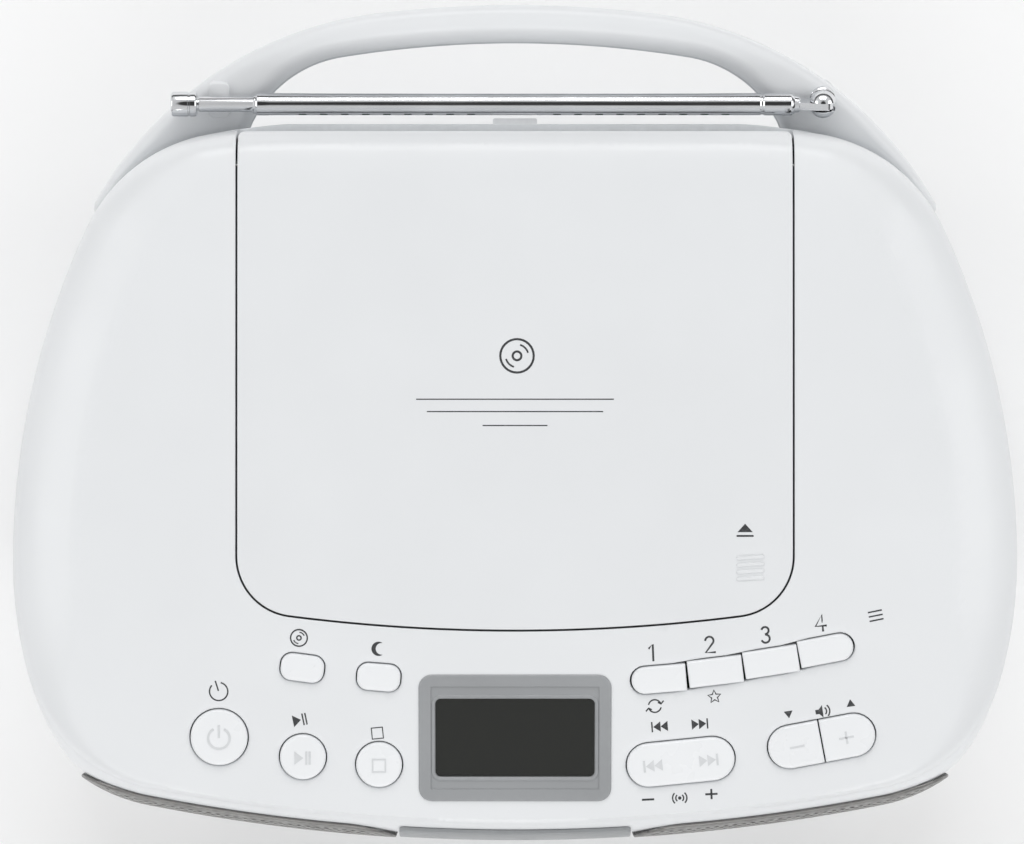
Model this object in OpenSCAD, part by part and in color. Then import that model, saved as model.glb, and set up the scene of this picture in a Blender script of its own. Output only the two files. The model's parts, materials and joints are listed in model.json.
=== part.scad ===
// Portable CD radio with a rear carrying handle, a top-loading disc lid and a telescopic antenna.
// +Z is up, the keys and grilles face -Y, and the origin is under the middle of the body, on the floor.
// Everything above the feet is drawn in the rim frame: its plane z = 0 is the seam between the top
// cabinet and the cabinets below it, and it rises gently towards the handle.

/* [Cabinet] */
// Width across the widest part of the cabinet
body_w = 254; // [250:1:258]
// Height of the seam plane above the floor, halfway along the depth
rim_z = 92; // [92:1:96]
// Rise of the seam plane towards the handle, in degrees
rim_tilt = 2.5; // [2:0.1:3]
// Height of the flat top above the seam plane
top_h = 14; // [13.6:0.1:14.4]
// Wall thickness of the cabinet mouldings
wall = 2.4; // [2.2:0.1:2.5]
// Gap left between pieces that must not touch
gap = 0.3; // [0.2:0.05:0.35]
// Height of the rubber feet
foot_h = 3; // [2.5:0.1:3.5]

/* [Lid and disc] */
// Half the width of the disc lid
lid_half_w = 69.8; // [69:0.1:70.5]
// Seam around the lid
lid_seam = 0.5; // [0.4:0.05:0.6]
// Radius of the disc
disc_r = 60; // [59:0.5:60]

/* [Keys] */
// How far a key travels when it is pressed
key_travel = 0.8; // [0.5:0.1:0.8]
// How far the keys stand out of the panel
key_rise = 0.9; // [0.5:0.1:1.2]
// Radius of the arc that the keys are fanned along
fan_r = 408; // [380:1:440]

/* [Grilles] */
// Radius of the loudspeaker frames
speaker_r = 38; // [36:0.5:38]
// Distance of each loudspeaker from the middle
speaker_x = 70; // [69:0.5:70]

/* [Handle and antenna] */
// Slope of the handle, measured from the seam plane, in degrees
handle_rise = 22; // [20:1:24]
// Depth of the handle bar, square to its slope
handle_t = 15; // [13:0.5:16]
// Length of the antenna's outer tube
tube_l = 137; // [130:1:137]

/* [Hidden] */
$fn = 48;
white = [0.93, 0.94, 0.95];
far = 300;
eps = 0.05;

// ---- Outlines as chains of arcs ------------------------------------------------------------------
// An arc is [radius, start heading, end heading, steps]; heading 0 runs along +X at the front.
function arc_end(p, a) = p + a[0] * [sin(a[2]) - sin(a[1]), cos(a[1]) - cos(a[2])];
function arc_points(p, a) = [
  for (s = [0 : a[3] - 1])
    let (h = a[1] + (a[2] - a[1]) * s / a[3], q = arc_end(p, [a[0], a[1], h]))
    [q.x, q.y, h]
];
function chain(p, arcs, i = 0) = i == len(arcs)
  ? [[p.x, p.y, arcs[i - 1][2]]]
  : concat(arc_points(p, arcs[i]), chain(arc_end(p, arcs[i]), arcs, i + 1));
function flipped(half) = [
  for (i = [len(half) - 1 : -1 : 0]) if (half[i].x > eps) [-half[i].x, half[i].y, -half[i].z]
];
function both_sides(half) = concat(half, flipped(half));
function flat(pts) = [for (p = pts) [p.x, p.y]];
function ramp(v, low, high) = max(0, min(1, (v - low) / (high - low)));
function mix(a, b, t) = a + (b - a) * t;

chain_w = 254.8; // width of the arc chain below at its own radii
k = body_w / chain_w;
front_y = -102 * k;
rim_arcs = [
  [480 * k, 0, 11.2, 4],
  [39 * k, 11.2, 74, 8],
  [110 * k, 74, 90, 3],
  [200 * k, 90, 115, 5],
  [42 * k, 115, 172, 7],
  [150 * k, 172, 180, 2]
];
rim = both_sides(chain([0, front_y], rim_arcs));

// ---- Frames ----------------------------------------------------------------------------------------
panel_fall = 0.2; // slope of the key panel
panel_slope = atan(panel_fall);
panel_bend_y = -50; // where the flat top bends down into the key panel
panel_y = -76; // origin of the key panel's own frame
function panel_z(y) = top_h + panel_fall * (y - panel_bend_y);
module on_rim() translate([0, 0, rim_z]) rotate([rim_tilt, 0, 0]) children();
module on_panel() on_rim() translate([0, panel_y, panel_z(panel_y)]) rotate([panel_slope, 0, 0]) children();
module hull_of(points) hull() polyhedron(points, [[for (i = [0 : len(points) - 1]) i]]);
module box(low, high) translate(low) cube(high - low);

// ---- Top surface -----------------------------------------------------------------------------------
// The border falls from the flat top to the seam. It is 16 wide at the sides and 11 at the rear.
side_border = 16;
rear_border = 11;
border_steps = [0, 0.06, 0.2, 0.5, 1];
side_heights = [3, 5.2, 7.2, 10.4, top_h];
rear_heights = [1.5, 6, 9.6, 12.8, top_h];
function rear_part(h) = ramp(abs(h), 115, 165);
function inward(p, d) = [p.x - d * sin(p.z), p.y + d * cos(p.z)];
function dome_ring(i, inset) = [
  for (p = rim)
    let (
      w = rear_part(p.z),
      q = inward(p, border_steps[i] * mix(side_border, rear_border, w) + inset),
      z = mix(side_heights[i], rear_heights[i], w) - inset
    )
    [q.x, q.y, min(z, panel_z(q.y) - inset)]
];
function foot_ring(inset, z) = [for (p = rim) let (q = inward(p, inset)) [q.x, q.y, z]];
function dome_points(inset, z) = concat(
  foot_ring(inset, z),
  [for (i = [0 : len(border_steps) - 1]) each dome_ring(i, inset)]
);
module dome_shell() difference() {
  hull_of(dome_points(0, 0));
  hull_of(dome_points(wall, -1));
}

// ---- Lid outline -----------------------------------------------------------------------------------
lid_front_y = -52.3;
lid_rear_y = 73.3;
lid_front_r = 446;
lid_corner_r = 15;
function lid_outline(grow, rear) =
  let (
    r = lid_corner_r + grow,
    big = lid_front_r + grow,
    a = asin((lid_half_w + grow - r) / (big - r)),
    half = chain([0, lid_front_y - grow], [[big, 0, a, 2], [r, a, 90, 6]])
  )
  flat(both_sides(concat(half, [[lid_half_w + grow, rear, 90]])));
module lid_column(grow, rear, low, high)
  translate([0, 0, low]) linear_extrude(high - low) polygon(lid_outline(grow, rear));

// ---- Lower body ------------------------------------------------------------------------------------
// The front swells below the seam and the rear wall steps out behind the lid.
front_swell = 4;
rear_step = 1.1;
function swell(h, amount) = amount * ramp(-abs(h), -75, -40) + rear_step * ramp(abs(h), 171, 179);
function body_ring(amount, out, z) = [
  for (p = rim) let (q = inward(p, -out - swell(p.z, amount))) [q.x, q.y, z]
];
floor_z = -rim_z - 8; // below the floor everywhere
function body_points(out, top) = concat(
  body_ring(0.6, out, top),
  body_ring(3, out, -7),
  body_ring(front_swell, out, -16),
  body_ring(front_swell, out, -60),
  body_ring(1, out - 1.5, floor_z)
);
module body_solid(out, top) hull_of(body_points(out, top));
module above_floor(z) translate([-far, -far, z]) cube(2 * far);
seam = 0.2;
side_seam_y = -30; // where the front and rear cabinets meet
module body_shell() intersection() {
  on_rim() difference() {
    body_solid(0, -seam);
    body_solid(-wall, 2);
  }
  above_floor(foot_h);
}

// ---- Key panel positions: [across, up the panel], taken from the middle of the panel frame -----------
lcd_at = [0, -3.8];
power_at = [-74.6, -3.6];
play_at = [-53.5, -8.7];
stop_at = [-34.3, -10.7];
function_at = [-53.5, 14.3];
sleep_at = [-34.3, 11.9];
preset_at = [[36.2, 11.4], [50.4, 13.4], [64.4, 15.9], [78.2, 19]];
skip_at = [41.8, -10];
volume_at = [77.3, -4.6];
function fan(x) = asin(x / fan_r);
power_r = 7.2;
small_r = 5.8;
pill = [10.9, 6.9, 2.8]; // length, width, corner radius
preset_pitch = 14.1;
preset_w = 6.9;
rocker = [27.3, 11.2];
volume_w = 11;
bezel = [48.6, 32.8, 3];
lcd_glass = [40.2, 20.3];

module round_slab(size, r, low, high) translate([0, 0, low]) union() {
  for (sx = [-1, 1], sy = [-1, 1])
    translate([sx * (size.x / 2 - r), sy * (size.y / 2 - r), 0]) cylinder(r = r, h = high - low);
  translate([-size.x / 2, -size.y / 2 + r, 0]) cube([size.x, size.y - 2 * r, high - low]);
  translate([-size.x / 2 + r, -size.y / 2, 0]) cube([size.x - 2 * r, size.y, high - low]);
}
module stadium(l, w, low, high) translate([0, 0, low]) union() {
  for (s = [-1, 1]) translate([s * (l - w) / 2, 0, 0]) cylinder(d = w, h = high - low);
  translate([-(l - w) / 2, -w / 2, 0]) cube([l - w, w, high - low]);
}
module placed(at) translate([at.x, at.y, 0]) children();
module fanned(at) translate([at.x, at.y, 0]) rotate(fan(at.x)) children();

// One preset key: a straight piece of the strip, with a round end on the outer two (end = -1 or 1).
module preset_slab(end, grow, low, high) {
  half = preset_pitch / 2 - 0.15 + grow;
  w = preset_w + 2 * grow;
  inner = end == 0 ? half : half - w / 2;
  translate([end < 0 ? -inner : -half, -w / 2, low]) cube([half + (end == 0 ? half : inner), w, high - low]);
  if (end != 0) translate([end * inner, 0, low]) cylinder(d = w, h = high - low);
}
// Half of the volume pill, to the left (side = -1) or right (side = 1) of its dividing seam.
module volume_slab(side, grow, low, high) intersection() {
  stadium(rocker.x + 2 * grow, volume_w + 2 * grow, low, high);
  if (side < 0) box([-20, -10, low], [-0.15, 10, high]);
  if (side > 0) box([0.15, -10, low], [20, 10, high]);
  if (side == 0) box([-20, -10, low], [20, 10, high]);
}

// Levels below the panel surface, along its normal
flange_top = -wall - 0.5;
flange_low = flange_top - 1.2;
stem_low = -5.5;
pcb_top = -9.7;
pcb_low = -11.3;
switch_top = stem_low - key_travel - 0.15;
rocker_pivot_z = -3.6;
rocker_pin_r = 1;
module stem(at) placed(at) translate([0, 0, stem_low]) cylinder(r = 1.6, h = flange_low - stem_low + eps);

module key_holes() on_panel() {
  hole = gap;
  deep = -8;
  placed(power_at) translate([0, 0, deep]) cylinder(r = power_r + hole, h = 12);
  placed(play_at) translate([0, 0, deep]) cylinder(r = small_r + hole, h = 12);
  placed(stop_at) translate([0, 0, deep]) cylinder(r = small_r + hole, h = 12);
  for (at = [function_at, sleep_at])
    fanned(at) round_slab([pill.x + 2 * hole, pill.y + 2 * hole], pill.z + hole, deep, 4);
  for (i = [0 : 3]) fanned(preset_at[i]) preset_slab(i == 0 ? -1 : i == 3 ? 1 : 0, hole, deep, 4);
  fanned(skip_at) stadium(rocker.x + 2 * hole, rocker.y + 2 * hole, deep, 4);
  fanned(volume_at) volume_slab(0, hole, deep, 4);
  placed(lcd_at) round_slab([bezel.x - 3, bezel.y - 3], 2, deep, 4);
}

// ---- Cabinet screws stand in tubes at the four corners ----------------------------------------------
post_at = [[-96, -45], [96, -45], [-96, 35], [96, 35]];
post_z = 62.2;
module at_posts() for (p = post_at) translate([p.x, p.y, 0]) children();

module top_cabinet() color(white) difference() {
  union() {
    on_rim() dome_shell();
    intersection() {
      at_posts() translate([0, 0, post_z]) cylinder(r = 3.5, h = 60);
      on_rim() box([-far, -far, -far], [far, far, top_h - 1.2]);
    }
  }
  on_rim() lid_column(lid_seam, 90, -4, 40);
  key_holes();
  at_posts() translate([0, 0, post_z - 1]) cylinder(r = 1.45, h = 16);
}

// ---- Front -----------------------------------------------------------------------------------------
speaker_z = 44.5; // height of the loudspeakers' middles above the floor
duct_y = -83; // rear end of the short ducts that carry the loudspeakers
module along_y(x, z, y) translate([x, y, z]) rotate([-90, 0, 0]) children();
module at_speakers() for (s = [-1, 1]) along_y(s * speaker_x, speaker_z, 0) children();

module front_cabinet() color([0.86, 0.87, 0.88]) difference() {
  union() {
    intersection() {
      body_shell();
      box([-far, -far, -far], [far, side_seam_y, far]);
    }
    intersection() {
      on_rim() body_solid(-wall + 0.6, -seam - 1);
      at_speakers() translate([0, 0, -115]) cylinder(r = speaker_r, h = 115 + duct_y);
    }
  }
  at_speakers() translate([0, 0, -130]) cylinder(r = speaker_r - 5, h = 60);
}

grille_x = [30, 108];
grille_z = [14, 84];
module grille_region(s) {
  size = [grille_x[1] - grille_x[0], grille_z[1] - grille_z[0], 12];
  along_y(s * (grille_x[0] + grille_x[1]) / 2, (grille_z[0] + grille_z[1]) / 2, 0)
    round_slab(size, size.z, -120, -60);
}
module front_skin(low, high) on_rim() difference() {
  body_solid(high, -seam);
  body_solid(low, 2);
}
module grille(s) color([0.72, 0.73, 0.75]) intersection() {
  front_skin(0.05, 0.75);
  grille_region(s);
}
module grille_left() grille(-1);
module grille_right() grille(1);
module front_badge() color(white) intersection() {
  front_skin(0.05, 1.25);
  box([-29.4, -130, 12], [29.4, -60, 85]);
}

// ---- Rear ------------------------------------------------------------------------------------------
vent_pitch = 5.34;
vent_w = 2.1;
vent_first = 10.9;
inlet_at = [62, 46];
jack_at = [[-60, 46], [-46, 46]];
handle_screw_at = [70, -18];
hinge_y = 71.5;
hinge_z = 1.2;
pin_r = 1;
bracket_x = 66;
lid_sweep_z = -1.2; // top of the rear wall behind the lid, clear of the lid's turning edge

module vents() for (s = [-1, 1], i = [0 : 8])
  on_rim() translate([s * (vent_first + i * vent_pitch) - vent_w / 2, 71, -12]) cube([vent_w, 8, 14]);

// Ears beside the lid's barrels, each holding one hinge pin.
module hinge_ears() on_rim() for (s = [-1, 1]) difference() {
  union() {
    translate([s * (bracket_x + 1.5) - 1.5, hinge_y - 2, -9]) cube([3, 4, 9 + hinge_z]);
    translate([s * (bracket_x + 1.5) - 1.5, hinge_y, hinge_z]) rotate([0, 90, 0]) cylinder(r = 2, h = 3);
  }
  translate([-far / 2, hinge_y, hinge_z]) rotate([0, 90, 0]) cylinder(r = pin_r + 0.02, h = far);
}

module rear_cabinet() color([0.9, 0.91, 0.92]) difference() {
  union() {
    difference() {
      body_shell();
      box([-far, -far, -far], [far, side_seam_y + 0.2, far]);
      on_rim() box([-lid_half_w - lid_seam, 68, lid_sweep_z], [lid_half_w + lid_seam, 90, 5]);
    }
    hinge_ears();
    on_rim() for (s = [-1, 1])
      box([s * (bracket_x + 1.5) - 1.5, hinge_y, -12], [s * (bracket_x + 1.5) + 1.5, 74.4, -3]);
    on_rim() box([-5.6, 74.6, -8], [5.6, 77, -1.2]);
  }
  vents();
  along_y(inlet_at.x, inlet_at.y, 60) round_slab([21, 13], 2, 0, 30);
  for (at = jack_at) along_y(at.x, at.y, 40) cylinder(r = 3.4, h = 50);
  for (s = [-1, 1]) on_rim() along_y(s * handle_screw_at.x, handle_screw_at.y, 60) cylinder(r = 1.6, h = 20);
}

// ---- Handle ----------------------------------------------------------------------------------------
// The handle's frame lies along its slope. Its origin is on the folded antenna's centre line.
antenna_y = 80.7;
antenna_z = -1.5;
face_z = -3.8; // the handle's upper face
split_z = face_z - 6;
module on_handle() on_rim() translate([0, antenna_y, antenna_z]) rotate([handle_rise, 0, 0]) children();

handle_outer = [[98, 120, 173.5, 9], [306, 173.5, 180, 3]];
handle_outer_start = [108.4, 55.45];
handle_inner = [[31.5, 117, 171, 7], [284, 171, 180, 3]];
handle_inner_start = [67.57, 76.5];
function grown(start, arcs, g) = chain(
  start + g * [sin(arcs[0][1]), -cos(arcs[0][1])],
  [for (a = arcs) [a[0] + g, a[1], a[2], a[3]]]
);
function closed_at(half, x, y) = flat(both_sides(concat([[x, y, 90]], half)));
// The handle's plan, shrunk by t on every side, above and below the seam plane.
module handle_plan(t) translate([0, 0, -60]) difference() {
  linear_extrude(110) polygon(closed_at(grown(handle_outer_start, handle_outer, -t), 100, 40));
  translate([0, 0, -1]) linear_extrude(112)
    polygon(closed_at(grown(handle_inner_start, handle_inner, t), 68 + t, 55));
  translate([0, 0, -1]) linear_extrude(112)
    polygon(flat([for (p = rim) let (q = inward(p, -t - eps - swell(p.z, 0))) [q.x, q.y]]));
}
module handle_layer(t, low, high) intersection() {
  on_rim() handle_plan(t);
  on_handle() box([-far, -far, low], [far, far, high]);
}
handle_boss_at = [69, 1.5];
swivel_x = 78.2;
rest_z = -2.8; // top of the pad under the antenna's thin end
handle_skin = 2;
module at_handle_bosses()
  on_handle() for (s = [-1, 1]) translate([s * handle_boss_at.x, handle_boss_at.y, 0]) children();

module handle_upper() color(white) difference() {
  union() {
    difference() {
      handle_layer(0, split_z, face_z);
      handle_layer(handle_skin, split_z - 1, face_z - handle_skin);
    }
    at_handle_bosses() translate([0, 0, split_z]) cylinder(r = 2.6, h = 5);
    on_handle() translate([swivel_x, 0, split_z]) cylinder(r = 5, h = 5);
    on_handle() box([-77.9, -4.7, face_z - 0.5], [-72.5, 4.7, rest_z]);
  }
  at_handle_bosses() translate([0, 0, split_z - 1]) cylinder(r = 1.15, h = 4.5);
  on_handle() translate([swivel_x, 0, -20]) cylinder(r = 3.4, h = 30);
}

handle_low = face_z - handle_t;
module handle_lower() color([0.9, 0.91, 0.92]) difference() {
  union() {
    difference() {
      handle_layer(0, handle_low, split_z - 0.1);
      handle_layer(handle_skin, handle_low + handle_skin, 0);
    }
    at_handle_bosses() translate([0, 0, handle_low + 0.5]) cylinder(r = 3.6, h = split_z - 0.6 - handle_low);
    intersection() {
      handle_layer(0, handle_low, split_z - 0.6);
      on_rim() for (s = [-1, 1]) translate([s * handle_screw_at.x, 0, handle_screw_at.y])
        box([-4, 74, -4], [4, 82, 5]);
    }
  }
  on_handle() translate([swivel_x, 0, split_z - 2.4]) cylinder(r = 5, h = 10);
  at_handle_bosses() translate([0, 0, -40]) cylinder(r = 1.6, h = 40);
  at_handle_bosses() translate([0, 0, -40]) cylinder(r = 2.9, h = 40 + handle_low + 4);
  for (s = [-1, 1]) on_rim() along_y(s * handle_screw_at.x, handle_screw_at.y, 70) cylinder(r = 1.15, h = 11);
}

// A pan-head screw along +Z with its head's top at z = 0 and a cross recess in it.
module screw(shaft_r, length, head_r) difference() {
  union() {
    translate([0, 0, -2]) cylinder(r1 = head_r * 0.8, r2 = head_r, h = 0.8);
    translate([0, 0, -1.2]) cylinder(r = head_r, h = 1.2);
    cylinder(r = shaft_r, h = length);
  }
  for (a = [0, 90]) rotate(a) translate([-head_r * 0.6, -0.35, -3]) cube([head_r * 1.2, 0.7, 2]);
}
module handle_screws() color("silver") {
  at_handle_bosses() translate([0, 0, handle_low + 4 - 0.02]) screw(1.1, 7.8, 2.6);
  for (s = [-1, 1]) on_rim() along_y(s * handle_screw_at.x, handle_screw_at.y, 71.2) screw(1.1, 9, 2.6);
}

// ---- Base ------------------------------------------------------------------------------------------
floor_t = 2.5;
bay = [81, 8, 64, 34]; // half length, front, rear and roof of the battery bay
bay_wall = 2;
cover_pivot = [11, 4.7];
foot_at = [[-84, -68], [84, -68], [-96, 51], [96, 51]];
foot_r = 8;

module base_cabinet() color([0.86, 0.87, 0.88]) difference() {
  union() {
    intersection() {
      on_rim() body_solid(-wall - gap, 2);
      box([-far, -far, foot_h], [far, far, foot_h + floor_t]);
    }
    box(
      [-bay[0] - bay_wall, bay[1] - bay_wall, foot_h],
      [bay[0] + bay_wall, bay[2] + bay_wall, bay[3] + bay_wall]
    );
    at_posts() translate([0, 0, foot_h]) cylinder(r = 4.8, h = post_z - foot_h - 0.2);
    for (x = [-64, 64], y = [14, 50]) translate([x, y, bay[3] + 1]) cylinder(r = 3, h = 5);
  }
  box([-bay[0], bay[1], -1], [bay[0], bay[2], bay[3]]);
  at_posts() translate([0, 0, -1]) cylinder(r = 3.2, h = 57 + 1);
  at_posts() translate([0, 0, 50]) cylinder(r = 1.6, h = 20);
  translate([-far / 2, cover_pivot.x, cover_pivot.y]) rotate([0, 90, 0]) cylinder(r = 1.25, h = far);
}
module battery_cover() color([0.86, 0.87, 0.88]) union() {
  box([-bay[0] + gap, cover_pivot.x - 2.2, foot_h], [bay[0] - gap, bay[2] - gap, foot_h + 1.8]);
  translate([-bay[0] + gap, cover_pivot.x, cover_pivot.y]) rotate([0, 90, 0])
    cylinder(r = 1.7, h = 2 * (bay[0] - gap));
  translate([-bay[0] - 1.6, cover_pivot.x, cover_pivot.y]) rotate([0, 90, 0])
    cylinder(r = 1.2, h = 2 * (bay[0] + 1.6));
  box([-12, bay[2] - 4, foot_h + 1], [12, bay[2] - 2.5, foot_h + 6]);
}
// Contact plates at both ends of the bay, with a conical coil on one plate of each row.
cell_y = [22, 50];
cell_z = 19;
coil_turns = 4;
coil_steps = 16;
coil_wire = 0.5;
function coil_ring(t) = [
  for (j = [0 : 5])
    let (r = mix(7, 4, t) + coil_wire * cos(60 * j), turn = 360 * coil_turns * t)
    [r * cos(turn), r * sin(turn), 0.95 + 5 * t + coil_wire * sin(60 * j)]
];
module coil() {
  last = coil_turns * coil_steps;
  sides = [
    for (i = [0 : last - 1], j = [0 : 5])
      [6 * i + j, 6 * i + (j + 1) % 6, 6 * (i + 1) + (j + 1) % 6, 6 * (i + 1) + j]
  ];
  ends = [[5, 4, 3, 2, 1, 0], [for (j = [0 : 5]) 6 * last + j]];
  polyhedron([for (i = [0 : last]) each coil_ring(i / last)], concat(sides, ends), convexity = 8);
}
module battery_springs() color("silver") for (s = [-1, 1], i = [0, 1])
  translate([s * (bay[0] - 0.05), cell_y[i], cell_z]) rotate([0, -90 * s, 0]) {
    translate([-6, -6, 0]) cube([12, 12, 0.4]);
    if ((s < 0) == (i == 0)) coil();
  }
module rubber_feet() color([0.25, 0.25, 0.27]) for (p = foot_at) translate([p.x, p.y, 0])
  rotate_extrude() polygon([[0, 0], [foot_r - 1, 0], [foot_r, 1], [foot_r, foot_h], [0, foot_h]]);
module cabinet_screws() color("silver") at_posts() translate([0, 0, 56.98]) screw(1.4, 14, 2.9);

// ---- Sockets ---------------------------------------------------------------------------------------
module ac_inlet() color([0.15, 0.15, 0.16]) along_y(inlet_at.x, inlet_at.y, 0) {
  difference() {
    round_slab([20.4, 12.4], 1.8, 61, 77.4);
    stadium(15, 8.2, 65, 90);
  }
  for (s = [-1, 1]) translate([s * 3.3, 0, 64]) cylinder(r = 1.2, h = 10);
}
module jack(at) along_y(at.x, at.y, 0) difference() {
  union() {
    translate([0, 0, 62]) cylinder(r = 3.3, h = 16.4);
    translate([-4, -4, 61]) cube([8, 8, 11]);
  }
  translate([0, 0, 64]) cylinder(r = 1.8, h = 20);
}
module headphone_jack() color([0.15, 0.15, 0.16]) jack(jack_at[0]);
module line_in_jack() color([0.15, 0.15, 0.16]) jack(jack_at[1]);

// ---- Disc well and mechanism -------------------------------------------------------------------------
spindle_y = 8.4;
well_r = disc_r + 1;
well_floor = -1;
seat_z = 2.4; // underside of a disc on the turntable
chassis_top = -5;
chassis_low = -6.5;
latch_at = [58, -38];
damper_at = [[-38, -24], [38, -40], [-38, 38], [38, 38]];
module on_spindle() on_rim() translate([0, spindle_y, 0]) children();

module disc_well() color([0.8, 0.81, 0.82]) on_rim() difference() {
  union() {
    lid_column(1.5, 56, 4, 6);
    difference() {
      lid_column(2.6, 56, 4, 10.4);
      lid_column(1.1, 60, 0, 12);
    }
    translate([0, spindle_y, well_floor - 2]) cylinder(r = well_r + 1.2, h = 7 - well_floor, $fn = 96);
  }
  translate([0, spindle_y, well_floor]) cylinder(r = well_r, h = 20, $fn = 96);
  translate([0, spindle_y, -10]) cylinder(r = 17, h = 20);
  box([-14, spindle_y - 58, -10], [14, spindle_y - 8, 20]);
  box([-4.6, spindle_y - 60.4, -10], [4.6, spindle_y - 57, 20]); // room for the lens at the outermost track
  box([latch_at.x - 6, latch_at.y - 4, 0], [latch_at.x + 6, latch_at.y + 3, 10]);
}
rod_x = 19;
rod_z = -9.5;
rod_y = [-58, -6];
gear_at = [31, -24];
gear_r = 6;
gear_teeth = 12;
module mechanism_chassis() color([0.62, 0.63, 0.65]) on_rim() difference() {
  union() {
    box([-44, -62, chassis_low], [44, 44, chassis_top]);
    for (s = [-1, 1], y = [rod_y[0] - 3, rod_y[1] - 1])
      box([s * rod_x - 2.5, y, -12], [s * rod_x + 2.5, y + 4, chassis_low]);
    box([gear_at.x - 6, gear_at.y - 9, -12.9], [42, gear_at.y + 9, -11.75]);
    box([40.5, gear_at.y - 9, -12.9], [42, gear_at.y + 9, chassis_low]);
  }
  box([-16, -58, -8], [16, -5, 0]);
  translate([0, spindle_y, -10]) cylinder(r = 7, h = 10);
  for (s = [-1, 1]) along_y(s * rod_x, rod_z, -70) cylinder(r = 1.52, h = 80);
  translate([gear_at.x, gear_at.y, -20]) cylinder(r = 2, h = 20);
}
module mechanism_dampers()
  color([0.2, 0.2, 0.22]) on_rim() for (p = damper_at) translate([p.x, p.y, chassis_top]) {
  cylinder(r = 4, h = well_floor - 2 - chassis_top);
}
module spindle_motor() color([0.7, 0.71, 0.73]) on_spindle() difference() {
  union() {
    translate([0, 0, -15]) cylinder(r = 12, h = 15 + chassis_low);
    translate([0, 0, -16.5]) cylinder(r = 4, h = 2);
  }
  translate([0, 0, -16]) cylinder(r = 1.04, h = 20);
}
module turntable() color([0.2, 0.2, 0.22]) on_spindle() {
  translate([0, 0, -14]) cylinder(r = 1, h = 14);
  translate([0, 0, -4.4]) cylinder(r = 6, h = 5.4);
  translate([0, 0, 0.8]) cylinder(r = 15, h = seat_z - 0.8);
  translate([0, 0, 0.8]) cylinder(r = 7.45, h = seat_z + 1.4 - 0.8);
  translate([0, 0, seat_z + 1.4]) cylinder(r1 = 7.45, r2 = 6.2, h = 1);
}
lens_y = spindle_y - 25; // at the innermost track
sled_travel = 31;
rack_pitch = PI * 2 * gear_r / gear_teeth;
rack_x = gear_at.x - gear_r; // the rack's pitch line
// A tooth along +X from its root, with half widths at the root and at the tip.
module tooth(root, tip, wide, narrow, h)
  linear_extrude(h) polygon([[root, -wide], [tip, -narrow], [tip, narrow], [root, wide]]);
module pickup_sled() color([0.25, 0.25, 0.27]) on_rim() difference() {
  union() {
    box([-12, lens_y - 7, -12], [12, lens_y + 7, -3.7]);
    box([-22, lens_y - 5, -11.5], [22.5, lens_y + 5, -7.4]);
    box([22, gear_at.y - 4, -11.5], [rack_x - 1.3, gear_at.y + sled_travel + 4, -8]);
    for (i = [-1 : 10]) translate([0, gear_at.y + (i + 0.5) * rack_pitch, -11.5])
      tooth(rack_x - 1.4, rack_x + 0.9, 0.98, 0.32, 3.5);
  }
  for (s = [-1, 1]) along_y(s * rod_x, rod_z, -70) cylinder(r = 1.56, h = 80);
  translate([0, lens_y, -5.2]) cylinder(r = 4.5, h = 5);
}
module pickup_lens() color([0.45, 0.55, 0.75]) on_rim() translate([0, lens_y, -4.6]) difference() {
  cylinder(r = 4, h = 3.8);
  translate([0, 0, 3]) cylinder(r1 = 2, r2 = 3, h = 1);
}
module guide_rods() color("silver") on_rim() for (s = [-1, 1])
  along_y(s * rod_x, rod_z, rod_y[0] - 2) cylinder(r = 1.5, h = rod_y[1] - rod_y[0] + 4);
module sled_motor() color([0.7, 0.71, 0.73]) on_rim() translate([gear_at.x, gear_at.y, 0]) difference() {
  translate([0, 0, -25]) cylinder(r = 9, h = 25 - 12.95);
  translate([0, 0, -24]) cylinder(r = 1.04, h = 20);
}
module sled_gear() color([0.9, 0.88, 0.8]) on_rim() translate([gear_at.x, gear_at.y, 0]) {
  translate([0, 0, -11.3]) cylinder(r = 4.8, h = 3);
  for (i = [0 : gear_teeth - 1]) rotate(i * 360 / gear_teeth)
    translate([0, 0, -11.3]) tooth(4.5, 6.85, 0.78, 0.3, 3);
  translate([0, 0, -22]) cylinder(r = 1, h = 12);
}

// ---- Lid -------------------------------------------------------------------------------------------
barrel_x = [58, 65.4];
module barrels(r, spare) for (s = [-1, 1])
  translate([s < 0 ? -barrel_x[1] - spare : barrel_x[0] - spare, hinge_y, hinge_z]) rotate([0, 90, 0])
    cylinder(r = r, h = barrel_x[1] - barrel_x[0] + 2 * spare);
module lid() color(white) on_rim() difference() {
  union() {
    intersection() {
      dome_shell();
      lid_column(0, lid_rear_y, 0.5, 40);
    }
    intersection() {
      difference() {
        lid_column(-1, 55, 8, top_h - 1);
        lid_column(-2.4, 60, 0, 40);
      }
      hull_of(dome_points(0.5, 0));
    }
    barrels(1.8, 0);
    for (s = [-1, 1]) translate([s * (barrel_x[0] + barrel_x[1]) / 2, hinge_y, 0])
      box([-3.7, -0.6, hinge_z + 1.4], [3.7, 1.6, 6]);
    box([latch_at.x - 4, latch_at.y, -3], [latch_at.x + 4, latch_at.y + 1.5, top_h - 1.6]);
  }
  barrels(pin_r + 0.05, 1);
  for (s = [-1, 1]) box([s * (bracket_x + 2.2) - 2.6, 68, -2], [s * (bracket_x + 2.2) + 2.6, 76, 4.4]);
}
module lid_hinge_pins() color("silver") on_rim() for (s = [-1, 1])
  translate([s < 0 ? -69 : 57, hinge_y, hinge_z]) rotate([0, 90, 0]) cylinder(r = pin_r, h = 12);

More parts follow.
